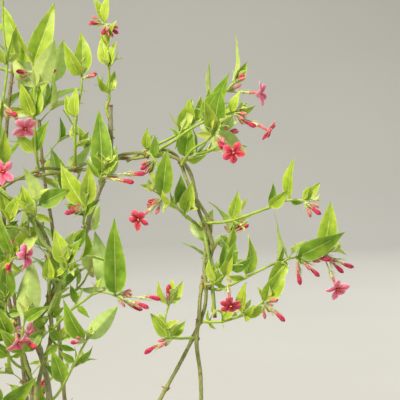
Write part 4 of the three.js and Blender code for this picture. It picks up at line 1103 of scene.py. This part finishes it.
def nodes_along(line, length):
    """Where a stem has its nodes: at the spray roots on it, and at about the same spacing between them."""
    places = line.at(np.linspace(0, 1, STEM_STEPS + 1))
    found = []
    for root in SPRAY_ROOTS:
        gaps = np.linalg.norm(places - root, axis=1)
        if gaps.min() < ON_STEM:
            found.append(gaps.argmin() / STEM_STEPS * length)
    marks = sorted([0.0, *found, length])
    for a, b in zip(marks, marks[1:]):
        count = round((b - a) / NODE_SPACING)
        found += [a + (b - a) * i / count for i in range(1, count)]
    return sorted(found)


def rings_on(line, sides, end=1):
    """A line's length, and for the rings on it their shares of it, their mm from its start and their angles."""
    length = line.length()
    shares = np.linspace(0, end, round(length / RING_SPACING) + 1)
    return length, shares, (shares * length)[:, None], angles_of(sides)


def add_stem(pile, tufts, stem, random):
    """A tapering stem with lengthwise ridges that wander, a swelling at each node and withered scales there."""
    line = Line(stem["places"])
    length, shares, ahead, angle = rings_on(line, STEM_SIDES)
    radius = np.interp(shares, *zip(*stem["radius"]))[:, None]
    relief = relief_of(STEM_RELIEF, angle, ahead, random.uniform(0, 6, len(STEM_RELIEF)))
    nodes = nodes_along(line, length)
    radii = radius * (1 + relief + swell_of(STEM_SWELL, ahead, nodes))
    looks = np.zeros(len(shares) - 1, int)
    if stem["cut"]:
        looks[0 if stem["cut"] == "start" else -1] = 1
    add_tube(pile, carried_frames(line, shares), radii, looks, BARK_GRAIN)
    for number, node in enumerate(nodes):
        place, along, side = frame_at(line, node / length)
        if stem["bark"] == "green" or random.random() < BARE_NODES:
            continue
        across = np.cross(along, side)
        turn = number * math.pi / 2 + random.uniform(-0.4, 0.4)
        size = np.interp(node / length, *zip(*stem["radius"]))
        for half in (0, math.pi):
            out = side * math.cos(turn + half) + across * math.sin(turn + half)
            add_tuft(tufts, place + out * size * 0.8, out, along, random)


def add_tuft(pile, place, out, along, random):
    """The dry remains of a leaf stalk and its bud: a few blunt, bent brown scales that hug the node."""
    across = np.cross(out, along)
    for _ in range(random.integers(*SCALES)):
        lean = out * random.uniform(0.5, 1) + along * random.uniform(-0.2, 1.2)
        lean = unit(lean + across * random.uniform(-1, 1))
        root = place + along * random.uniform(-0.8, 0.8) + across * random.uniform(-0.5, 0.5)
        bend = along * random.uniform(-0.7, 0.7) + across * random.uniform(-0.5, 0.5)
        tip = root + lean * random.uniform(1.0, 2.6)
        add_spike(pile, root, tip, random.uniform(0.35, 0.65), bend, 0, blunt=0.5)


def add_crown(pile):
    """The crown: a flat underside at the ground, three root lobes, fine ridges and a domed top."""
    heights = np.array(CROWN_RINGS)[:, None]
    angle = angles_of(60)
    low = 1 - heights / CROWN_HEIGHT
    lobes = 1 + LOBE_DEPTH * low * np.cos(CROWN_LOBES * (angle + np.pi))
    relief = relief_of(CROWN_RELIEF, angle, heights) * low**0.2
    radii = np.interp(heights, *zip(*CROWN_PROFILE)) * lobes * (1 + relief)
    to_right = np.array([1.0, 0.0, 0.0])
    add_tube(pile, straight_frames(np.zeros(3), UP, to_right, CROWN_RINGS), radii, 0, BARK_GRAIN)


# Sprays

TWIG_END = 0.985  # share of its line, so that it ends among its last leaves
BOX_MARGIN = 3  # mm that the scene's finer growth may leave the box of its spray's solid
YOUNG_BUDS, YOUNG_SPREAD, YOUNG_LENGTH = (1, 4), (0.25, 0.6), (6.5, 11.0)
TIP_FROM = 0.9  # share of a twig, from which a node is its last
SHOOT_LENGTH, SHOOT_LEAVES = (2.5, 8.0), (4.5, 10.5)
STEM_SHOOT_LENGTH, STEM_SHOOT_LEAVES = (8, 18), (13, 25)
UNOPENED = (2.5 / 4.5, 1)  # length of a shoot's last leaves, as a share of the shortest of the others


def add_twig(pile, shoot, below):
    """A green twig: four-angled, tapering, with a swelling at each pair of leaves. below: its first places, in
    mm from its root, where it doesn't start there."""
    places = [np.array(place, float) for place in shoot["places"]]
    line = Line([places[0] + move for move in below] + places[1:] if below else places)
    length, shares, ahead, angle = rings_on(line, TWIG_SIDES, TWIG_END)
    longer = length - Line(places).length()
    radius = np.interp(shares, [0, 1], TWIG_RADIUS)[:, None]
    nodes = [longer + min(share, LAST_NODE) * (length - longer) for share in shoot["at"]]
    radii = radius * (0.92 + 0.07 * np.cos(4 * angle) + swell_of(TWIG_SWELL, ahead, nodes))
    add_tube(pile, carried_frames(line, shares), radii, 0)


def box_of(spray):
    """The lowest and the highest corner of a spray's solid."""
    return [np.array(corner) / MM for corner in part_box(spray["name"])]


def add_young_buds(pile, spray, random):
    """Younger buds in each cluster of bloom: shorter, and spread round the grown ones."""
    box = box_of(spray)
    for organ in spray["organs"]:
        if organ["kind"] == "leaf":
            continue
        along = unit(organ["tip"] - organ["root"])
        for _ in range(random.integers(*YOUNG_BUDS)):
            sideways = np.cross(along, turned_about(organ["upward"], along, random.uniform(0, 6.3)))
            young = unit(along + sideways * random.uniform(*YOUNG_SPREAD)) * random.uniform(*YOUNG_LENGTH)
            tip = organ["root"] + young
            if clear_of_stems(tip) and inside(tip, box):
                upward = square_to(organ["upward"], unit(young))
                add_bud(pile, {"root": organ["root"], "tip": tip, "upward": upward}, random, young=True)


def clear_of_stems(place):
    return all(np.linalg.norm(line - place, axis=1).min() > STEM_CLEAR for line in STEM_PLACES)


def inside(place, box):
    return all(low - BOX_MARGIN < p < high + BOX_MARGIN for p, low, high in zip(place, *box))


def add_finer_shoots(piles, spray, random):
    """Finer twigs in the same reach: at each node short side shoots with one or two pairs of small leaves, and
    at each tip the last leaves. One that would leave the spray's box or touch a stem is skipped."""
    box = box_of(spray)
    for shoot in spray["shoots"]:
        line = Line(shoot["places"])
        for node, share in enumerate(shoot["at"]):
            place, along, side = frame_at(line, share)
            last = share >= TIP_FROM
            forward, outward = (1.6, 0.35) if last else (0.6, 1)
            for half in (0, math.pi):
                if not last and random.random() > SHOOT_CHANCE:
                    continue
                around = node * math.pi / 2 + half + random.uniform(-0.5, 0.5) + math.pi / 4
                out = turned_about(side, along, around)
                reach = unit(along * forward + out * outward + UP * 0.5) * random.uniform(*SHOOT_LENGTH)
                if clear_of_stems(place + reach * 2) and inside(place + reach * 2, box):
                    add_shoot(piles["twigs"], piles["tips"], place, reach, (out, side), random, SHOOT_LEAVES)


def add_stem_shoots(piles, stem, random):
    """Short leafy shoots at the nodes of a stem that carry no spray, inside the crown. A stem that was not cut
    ends in two of them."""
    line = Line(stem["places"])
    length = line.length()
    tip = [] if stem["cut"] else [length * 0.99]
    for number, node in enumerate([*nodes_along(line, length), *tip]):
        place, along = line.at(node / length), line.along(node / length)
        side = square_to(TO_FRONT, along)
        sprayed = min(np.linalg.norm(root - place) for root in SPRAY_ROOTS) < 5
        bare = place[2] < LEAFY_FROM or (node not in tip and (sprayed or node > length - BARE_END))
        for half in (0, math.pi):
            if bare or (node not in tip and random.random() > STEM_SHOOT_CHANCE):
                continue
            out = turned_about(side, along, number * math.pi / 2 + half + random.uniform(-0.5, 0.5))
            reach = unit(along * 0.7 + out + UP * 0.3) * random.uniform(*STEM_SHOOT_LENGTH)
            if clear_of_stems(place + reach * 1.6):
                leaves = piles[f"leaves_{random.choice(['sunlit', 'mature'])}"]
                add_shoot(piles["twigs"], leaves, place, reach, (out, side), random, STEM_SHOOT_LEAVES)


def add_shoot(twigs, leaves, place, reach, ways, random, sizes):
    """A short side shoot with a pair of small leaves near its end, and often a smaller pair at its tip."""
    bent = Line([place, place + reach * 0.5 + UP * 0.3, place + reach])
    add_round(twigs, bent, np.linspace(0.45, 0.3, 5), 8, 0)
    add_small_pair(leaves, place + reach * 0.95, unit(reach), ways[0], random, random.uniform(*sizes))
    if random.random() < 0.5:
        length = random.uniform(*UNOPENED) * sizes[0]
        add_small_pair(leaves, place + reach, unit(reach), ways[1], random, length)


def add_small_pair(pile, place, along, out, random, length):
    """Two small leaves on either side of a shoot, more upright than the grown ones."""
    out = square_to(out, along)
    for sign in (1, -1):
        reach = unit(along * random.uniform(0.8, 1.8) + out * sign + UP * 0.2)
        reach = reach * length * random.uniform(0.85, 1.1)
        upward = square_to(along - out * sign * 0.6, unit(reach))
        organ = {"root": place, "tip": place + reach, "upward": upward, "width": random.uniform(0.3, 0.42)}
        add_leaf(pile, organ, random, rows=7, net=SMALL_NET)


def look_of(spray, small, random):
    """The look of one leaf: mostly its spray's own, at times an older one, or a younger one if it is small."""
    name = spray["name"].removeprefix("spray_")
    own = 0 if name in YOUNG_SPRAYS else 2 if name in MATURE_AND_SHADED_SPRAYS else 1
    step = random.choice([0, 0, 0, 1, 1, -1 if small else 0])
    return list(LEAF_LOOKS)[min(2, max(0, own + step))]


def grow():
    """Makes every piece of the plant."""
    random, lifts = np.random.default_rng(SEED), np.random.default_rng(SEED)
    tufts = Pile("withered_scales", [WITHERED], "bark")
    for name, stem in STEMS.items():
        slot = "young_bark" if stem["bark"] == "green" else "bark"
        pile = Pile(f"bark_{name}", [BARKS[stem["bark"]], CUT_WOOD], slot)
        add_stem(pile, tufts, stem, random)
        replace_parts(pile.built(), name, *stem.get("upper", []))
    crown = Pile("bark_crown", [BARKS["brown"]], "bark")
    add_crown(crown)
    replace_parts(crown.built(), "crown")
    tufts.built()

    piles = {}
    for look, finishes in LEAF_LOOKS.items():
        piles[f"leaves_{look}"] = Pile(f"leaves_{look}", finishes, "foliage")
    piles["twigs"] = Pile("green_twigs", [TWIG_SKIN], "foliage")
    piles["tips"] = Pile("shoot_tips", LEAF_LOOKS["young"], "foliage")
    for name in ("buds", "young_buds", "flowers"):
        piles[name] = Pile(name, BLOOM_LOOKS, "foliage")
    for spray in SPRAYS:
        spray_name = spray["name"].removeprefix("spray_")
        for shoot in spray["shoots"]:
            add_twig(piles["twigs"], shoot, BESIDE_STUB if spray_name == "old_top" else [])
        for number, organ in enumerate(spray["organs"]):
            if organ["kind"] == "leaf":
                small = np.linalg.norm(organ["tip"] - organ["root"]) < SMALL_LEAF
                turned = organ.get("slim", random.random() < TURNED_OVER)
                if turned or number in TURNED_LEAVES.get(spray_name, []):
                    organ = {**organ, "upward": -organ["upward"]}
                add_leaf(piles[f"leaves_{look_of(spray, small, random)}"], organ, random)
            elif organ["kind"] == "bud":
                add_bud(piles["buds"], organ, random)
            else:
                tilt = round(math.degrees(organ["tilt"]))
                turn, move = SET_FLOWERS.get((spray_name, tilt), (0, (0, 0, 0)))
                organ = {**organ, "tilt": math.radians(tilt + turn), "tip": organ["tip"] + move}
                add_flower(piles["flowers"], organ, random, lifts, spray_name in FADED_AND_PAINTED_LIGHT_SPRAYS)
        add_finer_shoots(piles, spray, random)
        add_young_buds(piles["young_buds"], spray, random)
    for name in LEAFY_STEMS:
        add_stem_shoots(piles, STEMS[name], random)
    built = {name: pile.built() for name, pile in piles.items()}
    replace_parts(built["twigs"], *[spray["name"] for spray in SPRAYS])


# Camera, floor and light


def make_camera():
    """The photograph's viewing angle: level with the upper stems, looking a little down."""
    target = np.array([75, 0, 270]) * MM
    tilt = math.radians(3.5)
    camera = placed("camera", bpy.data.cameras.new("camera"))
    camera.data.sensor_width = 36
    camera.data.lens = 135
    camera.location = target + CAMERA_DISTANCE * np.array([0, -math.cos(tilt), math.sin(tilt)])
    camera.rotation_euler = (math.pi / 2 - tilt, 0, 0)
    camera.data.clip_start = 0.01
    bpy.context.scene.camera = camera


def make_stage():
    """A plain pale floor that sweeps up behind the plant."""
    near, far, bend, top, half = -6, 2.6, 1.2, 7, 7
    turn = np.linspace(0, np.pi / 2, 24)
    deep = [near, *(far + bend * np.sin(turn)), far + bend]
    high = [0, *(bend * (1 - np.cos(turn))), top]
    corners = [(x, y, z) for y, z in zip(deep, high) for x in (-half, half)]
    faces = [(2 * i, 2 * i + 1, 2 * i + 3, 2 * i + 2) for i in range(len(deep) - 1)]
    mesh = bpy.data.meshes.new("floor")
    mesh.from_pydata(corners, [], faces)
    mesh.polygons.foreach_set("use_smooth", np.ones(len(faces), bool))
    material, tree = started("matt_paper")
    patches = speckle(tree, 400, 1.0)
    colour = between(tree, patches, "#aaa9a3", "#adaca6")
    close(tree, colour, patches, 0.0, {"Roughness": 0.95, "Specular IOR Level": 0.1})
    mesh.materials.append(material)
    floor = placed("floor", mesh)


def make_light(name, place, size, power, colour, towards=(0.03, 0, 0.25)):
    """A round lamp, so many metres across, that shines towards the plant or another place."""
    light = bpy.data.lights.new(name, "AREA")
    light.shape = "DISK"
    light.size = size
    light.energy = power
    light.color = linear(colour)[:3]
    lamp = placed(name, light)
    lamp.location = place
    aim = np.array(towards) - np.array(place)
    lamp.rotation_euler = Vector(aim).to_track_quat("-Z", "Y").to_euler()


def make_studio():
    """Soft daylight: a large lamp high at the left, a weaker one at the right and a pale sky all round."""
    make_light("key", (-1.7, -2.0, 2.9), 0.9, 205, "#fff6e4")
    make_light("fill", (2.6, -1.6, 1.2), 2.0, 22, "#e8f0ff")
    make_light("back", (1.2, 1.9, 2.2), 1.2, 55, "#ffffff")
    make_light("wash", (0, 1.4, 3.6), 2.4, 40, "#ffffff", towards=(0, 3.8, 0.7))
    world = bpy.data.worlds.new("sky")
    bpy.context.scene.world = world
    world.use_nodes = True
    sky = world.node_tree.nodes["Background"]
    sky.inputs["Color"].default_value = linear("#eef2f6")
    sky.inputs["Strength"].default_value = 0.36
    bpy.context.scene.view_settings.view_transform = "Standard"


make_camera()
make_stage()
make_studio()
grow()
